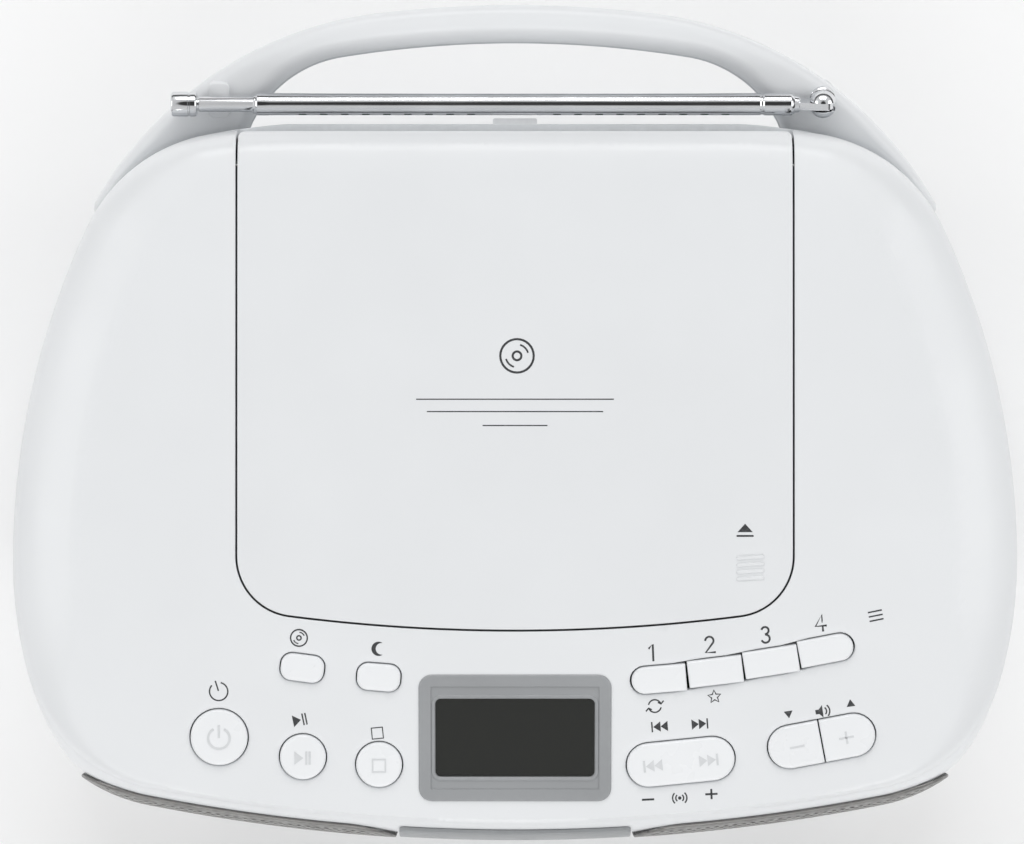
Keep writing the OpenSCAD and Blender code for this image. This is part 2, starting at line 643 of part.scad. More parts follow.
// ---- Lid latch: the housing hangs under the well and the slider sinks when the lid is pressed ---------
module latch_housing() color([0.3, 0.3, 0.32]) on_rim() translate([latch_at.x, latch_at.y + 0.75, 0]) difference() {
  box([-9, -6, -14], [9, 6, 4]);
  box([-7.4, -4.4, -12.4], [7.4, 4.4, 5]);
}
module latch_slider() color([0.9, 0.9, 0.88]) on_rim() translate([latch_at.x, latch_at.y + 0.75, 0]) difference() {
  box([-7.1, -4.1, -9.6], [7.1, 4.1, -3.1]);
  box([-3, -2, -11], [3, 2, -6]);
}

// ---- Display ---------------------------------------------------------------------------------------
module lcd_bezel() color([0.68, 0.69, 0.71]) on_panel() placed(lcd_at) difference() {
  union() {
    round_slab(bezel, bezel.z, 0.05, 0.9);
    round_slab([bezel.x - 3.6, bezel.y - 3.6], 1.8, -2.4, 0.5);
  }
  round_slab([lcd_glass.x + 2, lcd_glass.y + 2], 0.8, -5, 5);
}
module lcd_window() color([0.25, 0.28, 0.24])
  on_panel() placed(lcd_at) round_slab([lcd_glass.x + 1.8, lcd_glass.y + 1.8], 0.7, -2.4, -0.6);
module lcd_module() color([0.75, 0.76, 0.7]) on_panel() placed(lcd_at) box([-22, -13, pcb_top + 0.05], [22, 13, -2.5]);

// ---- Keys ------------------------------------------------------------------------------------------
module round_key(at, r) color(white) on_panel() {
  placed(at) translate([0, 0, flange_low]) cylinder(r = r, h = key_rise - flange_low);
  placed(at) translate([0, 0, flange_low]) cylinder(r = r + 0.9, h = flange_top - flange_low);
  stem(at);
}
module pill_key(at) color(white) on_panel() {
  fanned(at) round_slab([pill.x, pill.y], pill.z, flange_low, key_rise);
  fanned(at) round_slab([pill.x + 1.8, pill.y + 1.8], pill.z + 0.9, flange_low, flange_top);
  stem(at);
}
module preset_key(i) color(white) on_panel() {
  fanned(preset_at[i]) preset_slab(i == 0 ? -1 : i == 3 ? 1 : 0, 0, flange_low, key_rise);
  fanned(preset_at[i]) box([-5, -preset_w / 2 - 0.9, flange_low], [5, preset_w / 2 + 0.9, flange_top]);
  stem(preset_at[i]);
}
module volume_key(side) color(white) on_panel() {
  fanned(volume_at) volume_slab(side, 0, flange_low, key_rise);
  fanned(volume_at) intersection() {
    volume_slab(side, 0.9, flange_low, flange_top);
    box([-12, -20, -10], [12, 20, 10]);
  }
  fanned(volume_at) stem([side * 7, 0]);
}
module power_button() round_key(power_at, power_r);
module play_button() round_key(play_at, small_r);
module stop_button() round_key(stop_at, small_r);
module function_button() pill_key(function_at);
module sleep_button() pill_key(sleep_at);
module preset_key_1() preset_key(0);
module preset_key_2() preset_key(1);
module preset_key_3() preset_key(2);
module preset_key_4() preset_key(3);
module volume_down_key() volume_key(-1);
module volume_up_key() volume_key(1);
module skip_rocker() color(white) on_panel() fanned(skip_at) {
  stadium(rocker.x, rocker.y, flange_low, key_rise);
  for (s = [-1, 1]) stem([s * 7, 0]);
  translate([0, rocker.y / 2 + 1.2, rocker_pivot_z]) rotate([90, 0, 0]) cylinder(r = rocker_pin_r, h = rocker.y + 2.4);
}
// Two posts on the key board carry the rocker's pin.
module rocker_posts() fanned(skip_at) for (s = [-1, 1])
  translate([-1.2, s * (rocker.y / 2 + 0.7) - 0.5, pcb_top - eps])
    cube([2.4, 1, rocker_pivot_z - rocker_pin_r - 0.05 - pcb_top + eps]);
// The keys press on square switches soldered to the key board.
switch_at = concat([power_at, play_at, stop_at, function_at, sleep_at], preset_at);
module key_switch() {
  box([-3, -3, pcb_top - eps], [3, 3, pcb_top + 2.4]);
  translate([0, 0, pcb_top + 2]) cylinder(r = 1.5, h = switch_top - pcb_top - 2);
}
module key_board() color([0.16, 0.42, 0.26]) on_panel() {
  box([-80, -15, pcb_low], [62, 16, pcb_top]);
  box([56, -10.5, pcb_low], [88, 22, pcb_top]);
  for (at = switch_at) placed(at) key_switch();
  rocker_posts();
  for (at = [skip_at, volume_at], s = [-1, 1]) fanned(at) translate([s * 7, 0, 0]) key_switch();
}

// ---- Electronics -----------------------------------------------------------------------------------
board_z = 40;
module main_board() color([0.16, 0.42, 0.26]) {
  box([-70, 4, board_z], [70, 58, board_z + 1.6]);
  for (x = [-50 : 25 : 50]) box([x - 7, 22, board_z + 1], [x + 7, 34, board_z + 3.6]);
  for (x = [-60 : 20 : 60]) translate([x, 12, board_z + 1]) cylinder(r = 3.5, h = 12);
}
module transformer() color([0.5, 0.5, 0.52]) {
  difference() {
    box([-21, -44, foot_h + floor_t], [21, -14, 40]);
    box([-14, -50, foot_h + floor_t + 7], [-6, 0, 33]);
    box([6, -50, foot_h + floor_t + 7], [14, 0, 33]);
  }
  box([-13.8, -47, foot_h + floor_t + 7.2], [-6, -11, 32.8]);
  box([6, -47, foot_h + floor_t + 7.2], [13.8, -11, 32.8]);
}
module ferrite_aerial() color([0.3, 0.3, 0.32]) translate([0, 45, 58]) {
  translate([-50, 0, 0]) rotate([0, 90, 0]) cylinder(r = 5, h = 100);
  translate([-18, 0, 0]) rotate([0, 90, 0]) cylinder(r = 7, h = 36);
  for (x = [-40, 40]) box([x - 3, -7, board_z + 1.6 - 58], [x + 3, 7, 0]);
}

// ---- Loudspeakers: half sections turned about their axis, which points to the rear --------------------
speaker_section = [
  [0, -64], [7.6, -64], [7.6, -54], [9.8, -54], [9.8, -64], [20.8, -64], [33.2, -81], [33.2, duct_y],
  [speaker_r, duct_y], [speaker_r, -81], [34.6, -81], [22, -63], [22, -50], [0, -50]
];
cone_section = [
  [8.4, -56], [9, -56], [9, -65], [28, -80.5], [32.4, -82.6], [32.4, -83.4], [30.4, -84.6],
  [28, -81.5], [9, -66.2], [6, -68.6], [0, -69.6], [0, -69], [5.6, -68], [8.4, -65.8]
];
module turned(s, section) along_y(s * speaker_x, speaker_z, 0) rotate_extrude($fn = 96) polygon(section);
module speaker_left() color([0.3, 0.3, 0.32]) turned(-1, speaker_section);
module speaker_right() color([0.3, 0.3, 0.32]) turned(1, speaker_section);
module cone_left() color([0.15, 0.15, 0.16]) turned(-1, cone_section);
module cone_right() color([0.15, 0.15, 0.16]) turned(1, cone_section);

// ---- Antenna, folded along the handle ------------------------------------------------------------------
ball_r = 3.55;
elbow_pin_r = 0.8;
tube_r = [2.85, 2.4, 1.95, 1.5]; // outer radius of each section
tube_skin = 0.4;
tube_end = swivel_x - 7; // where the outer tube begins, next to the elbow
open_end = tube_end - tube_l;
module along_x(x) translate([x, 0, 0]) rotate([0, -90, 0]) children(); // local +Z runs towards the tip

module antenna_swivel() color("silver") on_handle() translate([swivel_x, 0, 0]) {
  difference() {
    union() {
      sphere(r = ball_r);
      translate([0, 0, split_z - 0.7]) cylinder(r = 3.3, h = -split_z);
      translate([0, 0, split_z - 1.7]) cylinder(r = 4.4, h = 1.2);
    }
    box([-9, -1.1, -3], [9, 1.1, 9]);
  }
  translate([0, 2, 0]) rotate([90, 0, 0]) cylinder(r = elbow_pin_r, h = 4);
}
module antenna_tube_1() color("silver") on_handle() {
  difference() {
    union() {
      translate([swivel_x, 1, 0]) rotate([90, 0, 0]) cylinder(r = 2.6, h = 2);
      box([tube_end - 2, -1, -1.8], [swivel_x, 1, 1.8]);
      along_x(tube_end - 1) cylinder(r = tube_r[0], h = tube_l - 1);
    }
    translate([swivel_x, 3, 0]) rotate([90, 0, 0]) cylinder(r = elbow_pin_r + 0.05, h = 6);
    along_x(tube_end - 5) cylinder(r = tube_r[0] - tube_skin, h = tube_l);
  }
}
// A sliding section: a tube, closed at its inner end, that reaches a short way past the mouth around it.
function section_start(i) = tube_end - 3.5 - 2.5 * i;
module sliding_tube(i, reach) on_handle() difference() {
  along_x(section_start(i)) cylinder(r = tube_r[i], h = section_start(i) - open_end + reach);
  along_x(section_start(i) - 1.5) cylinder(r = tube_r[i] - tube_skin, h = tube_l + reach);
}
module antenna_tube_2() color("silver") sliding_tube(1, 0.6);
module antenna_tube_3() color("silver") sliding_tube(2, 14.5);
module antenna_tip() color("silver") on_handle() {
  along_x(section_start(3)) cylinder(r = tube_r[3], h = section_start(3) - open_end + 15);
  along_x(open_end - 14.7) cylinder(r = 3.2, h = 6.8);
}

top_cabinet();
front_cabinet();
front_badge();
grille_left();
grille_right();
rear_cabinet();
handle_lower();
handle_upper();
handle_screws();
base_cabinet();
rubber_feet();
cabinet_screws();
battery_cover();
battery_springs();
ac_inlet();
headphone_jack();
line_in_jack();
disc_well();
mechanism_chassis();
mechanism_dampers();
spindle_motor();
turntable();
pickup_sled();
pickup_lens();
guide_rods();
sled_motor();
sled_gear();
lid();
lid_hinge_pins();
latch_housing();
latch_slider();
lcd_bezel();
lcd_window();
lcd_module();
power_button();
function_button();
sleep_button();
play_button();
stop_button();
preset_key_1();
preset_key_2();
preset_key_3();
preset_key_4();
skip_rocker();
volume_down_key();
volume_up_key();
key_board();
main_board();
speaker_left();
speaker_right();
cone_left();
cone_right();
transformer();
ferrite_aerial();
antenna_swivel();
antenna_tube_1();
antenna_tube_2();
antenna_tube_3();
antenna_tip();
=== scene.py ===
"""A white CD radio with a carrying handle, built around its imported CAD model.

Everything is modelled in millimetres in the frame that suits it: the rim frame follows the seam under the
top cabinet, the panel frame follows the sloping keys and the handle frame follows the handle. Each mesh is
turned into metres in the row frame as it is made.
"""

import json
import math

import bmesh
import bpy
import numpy as np
from mathutils import Matrix, Vector
from mathutils.geometry import delaunay_2d_cdt
from mathutils.kdtree import KDTree


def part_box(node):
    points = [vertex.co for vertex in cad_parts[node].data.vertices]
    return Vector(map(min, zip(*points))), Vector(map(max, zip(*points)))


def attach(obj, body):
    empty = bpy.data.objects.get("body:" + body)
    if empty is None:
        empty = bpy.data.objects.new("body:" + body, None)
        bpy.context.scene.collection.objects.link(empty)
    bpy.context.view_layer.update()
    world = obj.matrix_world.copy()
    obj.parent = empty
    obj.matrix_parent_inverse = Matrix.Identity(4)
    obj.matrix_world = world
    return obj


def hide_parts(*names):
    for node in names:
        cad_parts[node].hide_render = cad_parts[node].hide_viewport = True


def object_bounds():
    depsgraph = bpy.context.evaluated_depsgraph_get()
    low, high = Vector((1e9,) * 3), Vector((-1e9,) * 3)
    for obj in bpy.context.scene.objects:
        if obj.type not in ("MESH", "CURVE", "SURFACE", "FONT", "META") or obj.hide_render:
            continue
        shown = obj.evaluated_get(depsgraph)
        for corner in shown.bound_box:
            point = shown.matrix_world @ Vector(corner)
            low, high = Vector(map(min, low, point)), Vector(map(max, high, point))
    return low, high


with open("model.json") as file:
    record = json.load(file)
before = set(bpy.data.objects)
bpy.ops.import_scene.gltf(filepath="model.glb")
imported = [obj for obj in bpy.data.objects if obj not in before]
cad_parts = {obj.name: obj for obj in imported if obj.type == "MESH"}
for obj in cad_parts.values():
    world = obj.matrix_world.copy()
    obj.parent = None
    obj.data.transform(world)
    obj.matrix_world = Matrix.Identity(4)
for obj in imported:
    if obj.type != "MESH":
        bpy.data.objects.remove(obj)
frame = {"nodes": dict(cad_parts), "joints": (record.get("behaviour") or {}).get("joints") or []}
cad_low, cad_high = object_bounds()
nodes = frame["nodes"]
joints = {joint["name"]: joint for joint in frame["joints"]}

MM = 0.001
TO_METRES = Matrix.Scale(MM, 4)
SHELL = "cabinet"  # the body that everything fixed rides on

# ---- Frames ----------------------------------------------------------------------------------------


def slope_of(normal):
    """The turn about +X that brings +Z onto this direction."""
    return math.atan2(-normal[1], normal[2])


def about_x(origin, angle):
    return Matrix.Translation(origin) @ Matrix.Rotation(angle, 4, "X")


RIM_ANGLE = slope_of(joints["disc_spin"]["axis"])
PANEL_ANGLE = slope_of([-a for a in joints["power_button_press"]["axis"]]) - RIM_ANGLE
HANDLE_ANGLE = slope_of([-a for a in joints["antenna_turn"]["axis"]]) - RIM_ANGLE

RIM_Z = 92.0
TOP_H = 14.0  # flat top above the rim
WALL = 2.4
PANEL_FALL = math.tan(PANEL_ANGLE)
PANEL_BEND_Y = -50.0
PANEL_Y = -76.0
ANTENNA_Y = 80.7
ANTENNA_Z = -1.5

RIM_FRAME = about_x((0, 0, RIM_Z), RIM_ANGLE)


def panel_height(y):
    return TOP_H + PANEL_FALL * (y - PANEL_BEND_Y)


PANEL_FRAME = RIM_FRAME @ about_x((0, PANEL_Y, panel_height(PANEL_Y)), PANEL_ANGLE)
HANDLE_FRAME = RIM_FRAME @ about_x((0, ANTENNA_Y, ANTENNA_Z), HANDLE_ANGLE)
WORLD = Matrix.Identity(4)

# ---- Outlines as chains of arcs ---------------------------------------------------------------------


def arc_end(point, radius, start, end):
    a, b = math.radians(start), math.radians(end)
    return (point[0] + radius * (math.sin(b) - math.sin(a)), point[1] + radius * (math.cos(a) - math.cos(b)))


def chain(point, arcs, step=0.8):
    """Points (x, y, heading) along arcs (radius, start heading, end heading), about step apart."""
    points = []
    for radius, start, end in arcs:
        count = max(2, round(abs(radius * math.radians(end - start)) / step))
        for i in range(count):
            heading = start + (end - start) * i / count
            points.append((*arc_end(point, radius, start, heading), heading))
        point = arc_end(point, radius, start, end)
    points.append((*point, arcs[-1][2]))
    return points


def between(a, b, i, count):
    """The point i of count equal steps on the way from a to b."""
    return (a[0] + (b[0] - a[0]) * i / count, a[1] + (b[1] - a[1]) * i / count)


def straight(start, end, heading, step=0.8):
    """Points along a straight run, without its two ends."""
    count = max(2, round(math.dist(start[:2], end[:2]) / step))
    return [(*between(start, end, i, count), heading) for i in range(1, count)]


def both_sides(half):
    return half + [(-x, y, -heading) for x, y, heading in reversed(half) if x > 0.01]


def inward(point, distance):
    h = math.radians(point[2])
    return (point[0] - distance * math.sin(h), point[1] + distance * math.cos(h))


BODY_W = 254.0
DRAWN_W = 254.8  # the width that the arcs below are drawn for
ARC_SCALE = BODY_W / DRAWN_W
FRONT_Y = -102
# The rim's right half from the middle of the front: each arc's radius, start heading and end heading.
RIM_ARCS = [(480, 0, 11.2), (39, 11.2, 74), (110, 74, 90), (200, 90, 115), (42, 115, 172), (150, 172, 180)]
SCALED_ARCS = [(radius * ARC_SCALE, start, end) for radius, start, end in RIM_ARCS]
half_rim = chain((0, FRONT_Y * ARC_SCALE), SCALED_ARCS)
rear_end = half_rim[-1]
half_rim += straight(rear_end, (0, rear_end[1]), 180) + [(0, rear_end[1], 180)]
rim = both_sides(half_rim)

# ---- The top surface --------------------------------------------------------------------------------


class Curve:
    """A smooth curve through points that never overshoots them; past the end it runs on straight."""

    def __init__(self, xs, ys):
        self.xs = np.array(xs, float)
        self.ys = np.array(ys, float)
        secant = np.diff(self.ys) / np.diff(self.xs)
        middle = [0 if a * b <= 0 else 2 * a * b / (a + b) for a, b in zip(secant, secant[1:])]
        self.slopes = np.array([secant[0], *middle, secant[-1]])

    def __call__(self, x):
        x = np.asarray(x, float)
        i = np.clip(np.searchsorted(self.xs, x) - 1, 0, len(self.xs) - 2)
        width = self.xs[i + 1] - self.xs[i]
        t = np.clip((x - self.xs[i]) / width, 0, 1)
        start = (1 + 2 * t) * (1 - t) ** 2 * self.ys[i] + t * (1 - t) ** 2 * width * self.slopes[i]
        end = t * t * (3 - 2 * t) * self.ys[i + 1] + t * t * (t - 1) * width * self.slopes[i + 1]
        return start + end + np.maximum(x - self.xs[-1], 0) * self.slopes[-1]


SIDE_BORDER = 16.0  # width of the curved border along the rim
REAR_BORDER = 11.0
BORDER_BLEND = 0.5
BEND_BLEND = 0.9
BORDER_STEPS = [0, 0.06, 0.2, 0.5, 1]
side_curve = Curve(BORDER_STEPS, [3, 5.2, 7.2, 10.4, TOP_H])
rear_curve = Curve(BORDER_STEPS, [1.5, 6, 9.6, 12.8, TOP_H])
rim_xy = np.array([(x, y) for x, y, _ in rim])
rim_heading = np.radians([heading for _, _, heading in rim])


def rim_distance(xy):
    """How far inside the rim each point is, and how far round to the rear (0 to 1) its rim point is."""
    distance = np.empty(len(xy))
    rear = np.empty(len(xy))
    for first in range(0, len(xy), 2000):
        part = xy[first:first + 2000]
        nearest = ((part[:, None] - rim_xy[None]) ** 2).sum(-1).argmin(1)
        h = rim_heading[nearest]
        step = part - rim_xy[nearest]
        distance[first:first + 2000] = -step[:, 0] * np.sin(h) + step[:, 1] * np.cos(h)
        rear[first:first + 2000] = np.clip((np.abs(np.degrees(h)) - 115) / 50, 0, 1)
    return distance, rear


def soft_min(a, b, reach):
    """The lower of two heights, with their meeting rounded over reach."""
    h = np.maximum(reach - np.abs(a - b), 0) / reach
    return np.minimum(a, b) - h * h * reach / 4


def top_z(xy):
    """Height of the cabinet's top surface above the rim."""
    xy = np.asarray(xy, float).reshape(-1, 2)
    distance, rear = rim_distance(xy)
    t = np.maximum(distance, 0) / (SIDE_BORDER + (REAR_BORDER - SIDE_BORDER) * rear)
    border = side_curve(t) * (1 - rear) + rear_curve(t) * rear
    return soft_min(soft_min(border, TOP_H, BORDER_BLEND), panel_height(xy[:, 1]), BEND_BLEND)


# ---- Mesh tools -------------------------------------------------------------------------------------


class Surface:
    """Points and faces gathered in millimetres, then made into a mesh object."""

    def __init__(self):
        self.points = []
        self.faces = []

    def add(self, points):
        first = len(self.points)
        self.points.extend(tuple(float(c) for c in p) for p in points)
        return list(range(first, len(self.points)))

    def bridge(self, low, high, closed=True):
        for i in range(len(low) - (not closed)):
            j = (i + 1) % len(low)
            self.faces.append((low[i], low[j], high[j], high[i]))

    def rows(self, loops, closed=True):
        """Adds loops of equal length and joins each to the next."""
        added = [self.add(loop) for loop in loops]
        self.join(added, closed)
        return added

    def join(self, rows, closed=True):
        for low, high in zip(rows, rows[1:]):
            self.bridge(low, high, closed)

    def cap(self, loop):
        self.faces.append(tuple(loop))

    def solid(self, loops):
        """Adds loops of equal length, joins each to the next and closes both ends."""
        rows = self.rows(loops)
        self.cap(rows[0])
        self.cap(rows[-1])

    def patch(self, added, triangles):
        """Faces over points already added; each triangle holds places in that list."""
        self.faces += [tuple(added[i] for i in t) for t in triangles]

    def build(self, name, matrix=WORLD, sharp=32):
        mesh = bpy.data.meshes.new(name)
        mesh.from_pydata(self.points, [], self.faces)
        bm = bmesh.new()
        bm.from_mesh(mesh)
        bmesh.ops.remove_doubles(bm, verts=bm.verts, dist=0.002)
        bmesh.ops.dissolve_degenerate(bm, edges=bm.edges, dist=0.0005)
        bmesh.ops.recalc_face_normals(bm, faces=bm.faces)
        bmesh.ops.transform(bm, matrix=TO_METRES @ matrix, verts=bm.verts)
        finish_edges(bm, sharp)
        bm.to_mesh(mesh)
        bm.free()
        return linked(name, mesh)


def finish_edges(bm, sharp):
    """Shades faces smooth and keeps edges bent by more than sharp degrees crisp."""
    for face in bm.faces:
        face.smooth = True
    limit = math.radians(sharp)
    for edge in bm.edges:
        edge.smooth = len(edge.link_faces) == 2 and edge.calc_face_angle(0) < limit


def linked(name, data):
    obj = bpy.data.objects.new(name, data)
    bpy.context.scene.collection.objects.link(obj)
    return obj


def in_polygon(xy, loop):
    """Whether each point is inside a closed loop."""
    loop = np.asarray(loop, float)
    inside = np.zeros(len(xy), bool)
    x, y = xy[:, 0], xy[:, 1]
    for (x1, y1), (x2, y2) in zip(loop, np.roll(loop, -1, axis=0)):
        if y1 == y2:
            continue
        crosses = (y1 > y) != (y2 > y)
        inside ^= crosses & (x < (x2 - x1) * (y - y1) / (y2 - y1) + x1)
    return inside


def search_tree(points):
    """A tree that finds the nearest of some flat points."""
    tree = KDTree(len(points))
    for i, (x, y) in enumerate(points):
        tree.insert((x, y, 0), i)
    tree.balance()
    return tree


def fill(outer, holes, extra, keep=None, near=1.0):
    """Triangles over a flat region with holes.

    The loops' points come first in the result and in order, then those extra points that lie inside.
    """
    loops = [np.asarray(loop, float)[:, :2] for loop in [outer, *holes]]
    edges_xy = np.concatenate(loops)

    def inside(xy):
        if keep is not None:
            return in_polygon(xy, loops[0]) & keep(xy)
        result = in_polygon(xy, loops[0])
        for hole in loops[1:]:
            result &= ~in_polygon(xy, hole)
        return result

    tree = search_tree(edges_xy)
    extra = np.asarray(extra, float).reshape(-1, 2)
    extra = extra[inside(extra)]
    extra = [p for p in extra if tree.find((p[0], p[1], 0))[2] > near]
    points = np.concatenate([edges_xy, np.reshape(extra, (-1, 2))])
    edges = []
    first = 0
    for loop in loops:
        count = len(loop)
        edges += [(first + i, first + (i + 1) % count) for i in range(count)]
        first += count
    result = delaunay_2d_cdt([Vector(p) for p in points], edges, [], 0, 1e-7)
    source = [origin[0] for origin in result[3]]
    triangles = np.array([[source[i] for i in face] for face in result[2]])
    triangles = triangles[inside(points[triangles].mean(axis=1))]
    return points, triangles


def grid(low, high, step):
    """Points of a triangular grid."""
    rise = step * math.sqrt(3) / 2
    return [
        (x + (row % 2) * step / 2, y)
        for row, y in enumerate(np.arange(low[1], high[1], rise))
        for x in np.arange(low[0], high[0], step)
    ]


def lift(points, height):
    """The points at the heights that a function gives for their plan."""
    xy = np.asarray(points, float)[:, :2]
    return np.column_stack([xy, height(xy)])


def at_height(outline, z):
    return [(x, y, z) for x, y in outline]


def quarter(steps):
    """Angles from 0 to a right angle."""
    return [math.pi / 2 * i / steps for i in range(steps + 1)]


# ---- Outlines of the lid and keys -------------------------------------------------------------------
LID_HALF_W = 69.8
LID_FRONT_Y = -52.3
LID_REAR_Y = 73.3
LID_FRONT_R = 446.0
LID_CORNER_R = 15.0
LID_REAR_R = 1.5
LID_SEAM = 0.5


def lid_half():
    """Right half of the lid's outline: its front edge, a round corner, its side, and half its hinge end."""
    turn = math.degrees(math.asin((LID_HALF_W - LID_CORNER_R) / (LID_FRONT_R - LID_CORNER_R)))
    half = chain((0, LID_FRONT_Y), [(LID_FRONT_R, 0, turn), (LID_CORNER_R, turn, 90)])
    side_end = (LID_HALF_W, LID_REAR_Y - LID_REAR_R)
    half += straight(half[-1], side_end, 90, 1.5)
    half += chain(side_end, [(LID_REAR_R, 90, 180)], 0.4)
    return half + straight(half[-1], (0, LID_REAR_Y), 180, 1.2) + [(0, LID_REAR_Y, 180)]


lid_edge = lid_half()


def ellipse_corner(centre, r, start, steps=7):
    return [
        (centre[0] + r * math.cos(math.radians(start + 90 * i / steps)),
         centre[1] + r * math.sin(math.radians(start + 90 * i / steps)))
        for i in range(steps + 1)
    ]


def rounded(length, width, radii, inset=0.0):
    """A rounded rectangle about the origin; radii run from the +X +Y corner anticlockwise."""
    points = []
    for (sx, sy), start, r in zip(((1, 1), (-1, 1), (-1, -1), (1, -1)), (0, 90, 180, 270), radii):
        r = max(r - inset, 0.12)
        centre = (sx * (length / 2 - inset - r), sy * (width / 2 - inset - r))
        points += ellipse_corner(centre, r, start)
    return points


def circle(r, count=40):
    angles = [2 * math.pi * i / count for i in range(count)]
    return [(r * math.cos(a), r * math.sin(a)) for a in angles]


def turned(points, angle, at=(0, 0)):
    c, s = math.cos(angle), math.sin(angle)
    return [(at[0] + x * c - y * s, at[1] + x * s + y * c) for x, y in points]


FAN_R = 408.0
KEY_GAP = 0.3
KEY_RISE = 0.9


def fan(x):
    """The turn of a key this far from the middle, on the arc that the keys are fanned along."""
    return math.asin(x / FAN_R)


POWER_AT = (-74.6, -3.6)
POWER_R = 7.2
PLAY_AT = (-53.5, -8.7)
STOP_AT = (-34.3, -10.7)
SMALL_R = 5.8
FUNCTION_AT = (-53.5, 14.3)
SLEEP_AT = (-34.3, 11.9)
PILL = (10.9, 6.9)
PILL_CORNER = 2.8
PRESET_AT = [(36.2, 11.4), (50.4, 13.4), (64.4, 15.9), (78.2, 19)]
PRESET_PITCH = 14.1
PRESET_W = 6.9
PRESET_SPLIT = 0.3
SKIP_AT = (41.8, -10)
ROCKER = (27.3, 11.2)
VOLUME_AT = (77.3, -4.6)
VOLUME_W = 11.0
VOLUME_SPLIT = 0.16
SPLIT_CORNER = 0.25
LCD_AT = (0, -3.8)
LCD_FRAME = (48.6, 32.8)
LCD_GLASS = (40.2, 20.3)
LCD_LAP = 3.6  # how much wider the display's frame is than its opening


def round_outline(radius):
    return lambda inset=0.0: circle(radius - inset)


def pill_outline(inset=0.0):
    return rounded(*PILL, (PILL_CORNER,) * 4, inset)


def strip_outline(length, width, left, right):
    """The outline of one piece of a strip; an end that is True is fully round."""
    a = width / 2 if right else SPLIT_CORNER
    b = width / 2 if left else SPLIT_CORNER
    return lambda inset=0.0: rounded(length, width, (a, b, b, a), inset)


# Every key: its middle on the panel, its outline as a function of an inset, and its turn.
KEYS = {
    "power_button": (POWER_AT, round_outline(POWER_R), 0),
    "play_button": (PLAY_AT, round_outline(SMALL_R), 0),
    "stop_button": (STOP_AT, round_outline(SMALL_R), 0),
    "function_button": (FUNCTION_AT, pill_outline, fan(FUNCTION_AT[0])),
    "sleep_button": (SLEEP_AT, pill_outline, fan(SLEEP_AT[0])),
    "skip_rocker": (SKIP_AT, strip_outline(*ROCKER, True, True), fan(SKIP_AT[0])),
}
for i, at in enumerate(PRESET_AT):
    shape = strip_outline(PRESET_PITCH - PRESET_SPLIT, PRESET_W, i == 0, i == 3)
    KEYS[f"preset_key_{i + 1}"] = (at, shape, fan(at[0]))
for name, side in (("volume_down_key", -1), ("volume_up_key", 1)):
    turn = fan(VOLUME_AT[0])
    offset = side * (ROCKER[0] / 4 + VOLUME_SPLIT / 2)
    at = (VOLUME_AT[0] + offset * math.cos(turn), VOLUME_AT[1] + offset * math.sin(turn))
    KEYS[name] = (at, strip_outline(ROCKER[0] / 2 - VOLUME_SPLIT, VOLUME_W, side < 0, side > 0), turn)


def strip_end(at, reach, half):
    """The round end of the preset keys' opening; reach and half are negative at its left end."""
    turn = fan(at[0])
    bow = [(half * math.cos(a), half * math.sin(a)) for a in np.linspace(-1.3, 1.3, 9)]
    return turned(bow, turn, turned([(reach, 0)], turn, at)[0])


def strip_opening(grow):
    """The opening around the fanned preset keys: a band along the arc that they stand on, with round ends."""
    half = PRESET_W / 2 + grow
    reach = PRESET_PITCH / 2 - PRESET_W / 2
    first, last = PRESET_AT[0], PRESET_AT[-1]
    upper, lower = [], []
    for at in PRESET_AT:
        turn = fan(at[0])
        for u in ((-reach, 0, reach) if at in (first, last) else (-3, 3)):
            upper += turned([(u, half)], turn, at)
            lower += turned([(u, -half)], turn, at)
    return lower + strip_end(last, reach, half) + upper[::-1] + strip_end(first, -reach, -half)


def key_opening(name):
    at, shape, turn = KEYS[name]
    return lambda grow: turned(shape(-grow), turn, at)


def volume_opening(grow):
    """The opening that the two volume keys share."""
    shape = rounded(ROCKER[0] + 2 * grow, VOLUME_W + 2 * grow, (VOLUME_W / 2 + grow,) * 4)
    return turned(shape, fan(VOLUME_AT[0]), VOLUME_AT)


def display_opening(grow):
    length, width = (size - LCD_LAP + 2 * grow for size in LCD_FRAME)
    return turned(rounded(length, width, (2,) * 4), 0, LCD_AT)


LONE_KEYS = ("power_button", "play_button", "stop_button", "function_button", "sleep_button", "skip_rocker")
OPENINGS = [key_opening(key) for key in LONE_KEYS] + [strip_opening, volume_opening, display_opening]


def on_panel_plane(points, depth=0.0):
    """Panel points as rim-frame x and y."""
    c, s = math.cos(PANEL_ANGLE), math.sin(PANEL_ANGLE)
    return [(u, PANEL_Y + v * c + depth * s) for u, v in points]


# ---- Top cabinet ------------------------------------------------------------------------------------
EDGE_R = 0.35  # rounding along openings and seams


def cabinet_outline(grow, inset=0.0):
    """The rim from one side of the lid round the front to the other, then the lid's opening.

    Each point says whether it is on the rim. The opening's edge is moved out by grow and the rim in by inset.
    """
    side = LID_HALF_W + grow
    edge = [p for p in half_rim if p[0] > LID_HALF_W + LID_SEAM + EDGE_R + 0.6 or p[1] < 0]
    right = []
    for point in edge:
        x, y = inward(point, inset)
        right.append((max(x, side) if y > 0 else x, y, True))
    seam = [inward(p, -grow) for p in lid_edge if p[1] < edge[-1][1] - 1.5] + [(side, right[-1][1])]
    right += [(x, y, False) for x, y in reversed(seam)]
    return right + [(-x, y, on_rim) for x, y, on_rim in reversed(right) if x > 0.01]


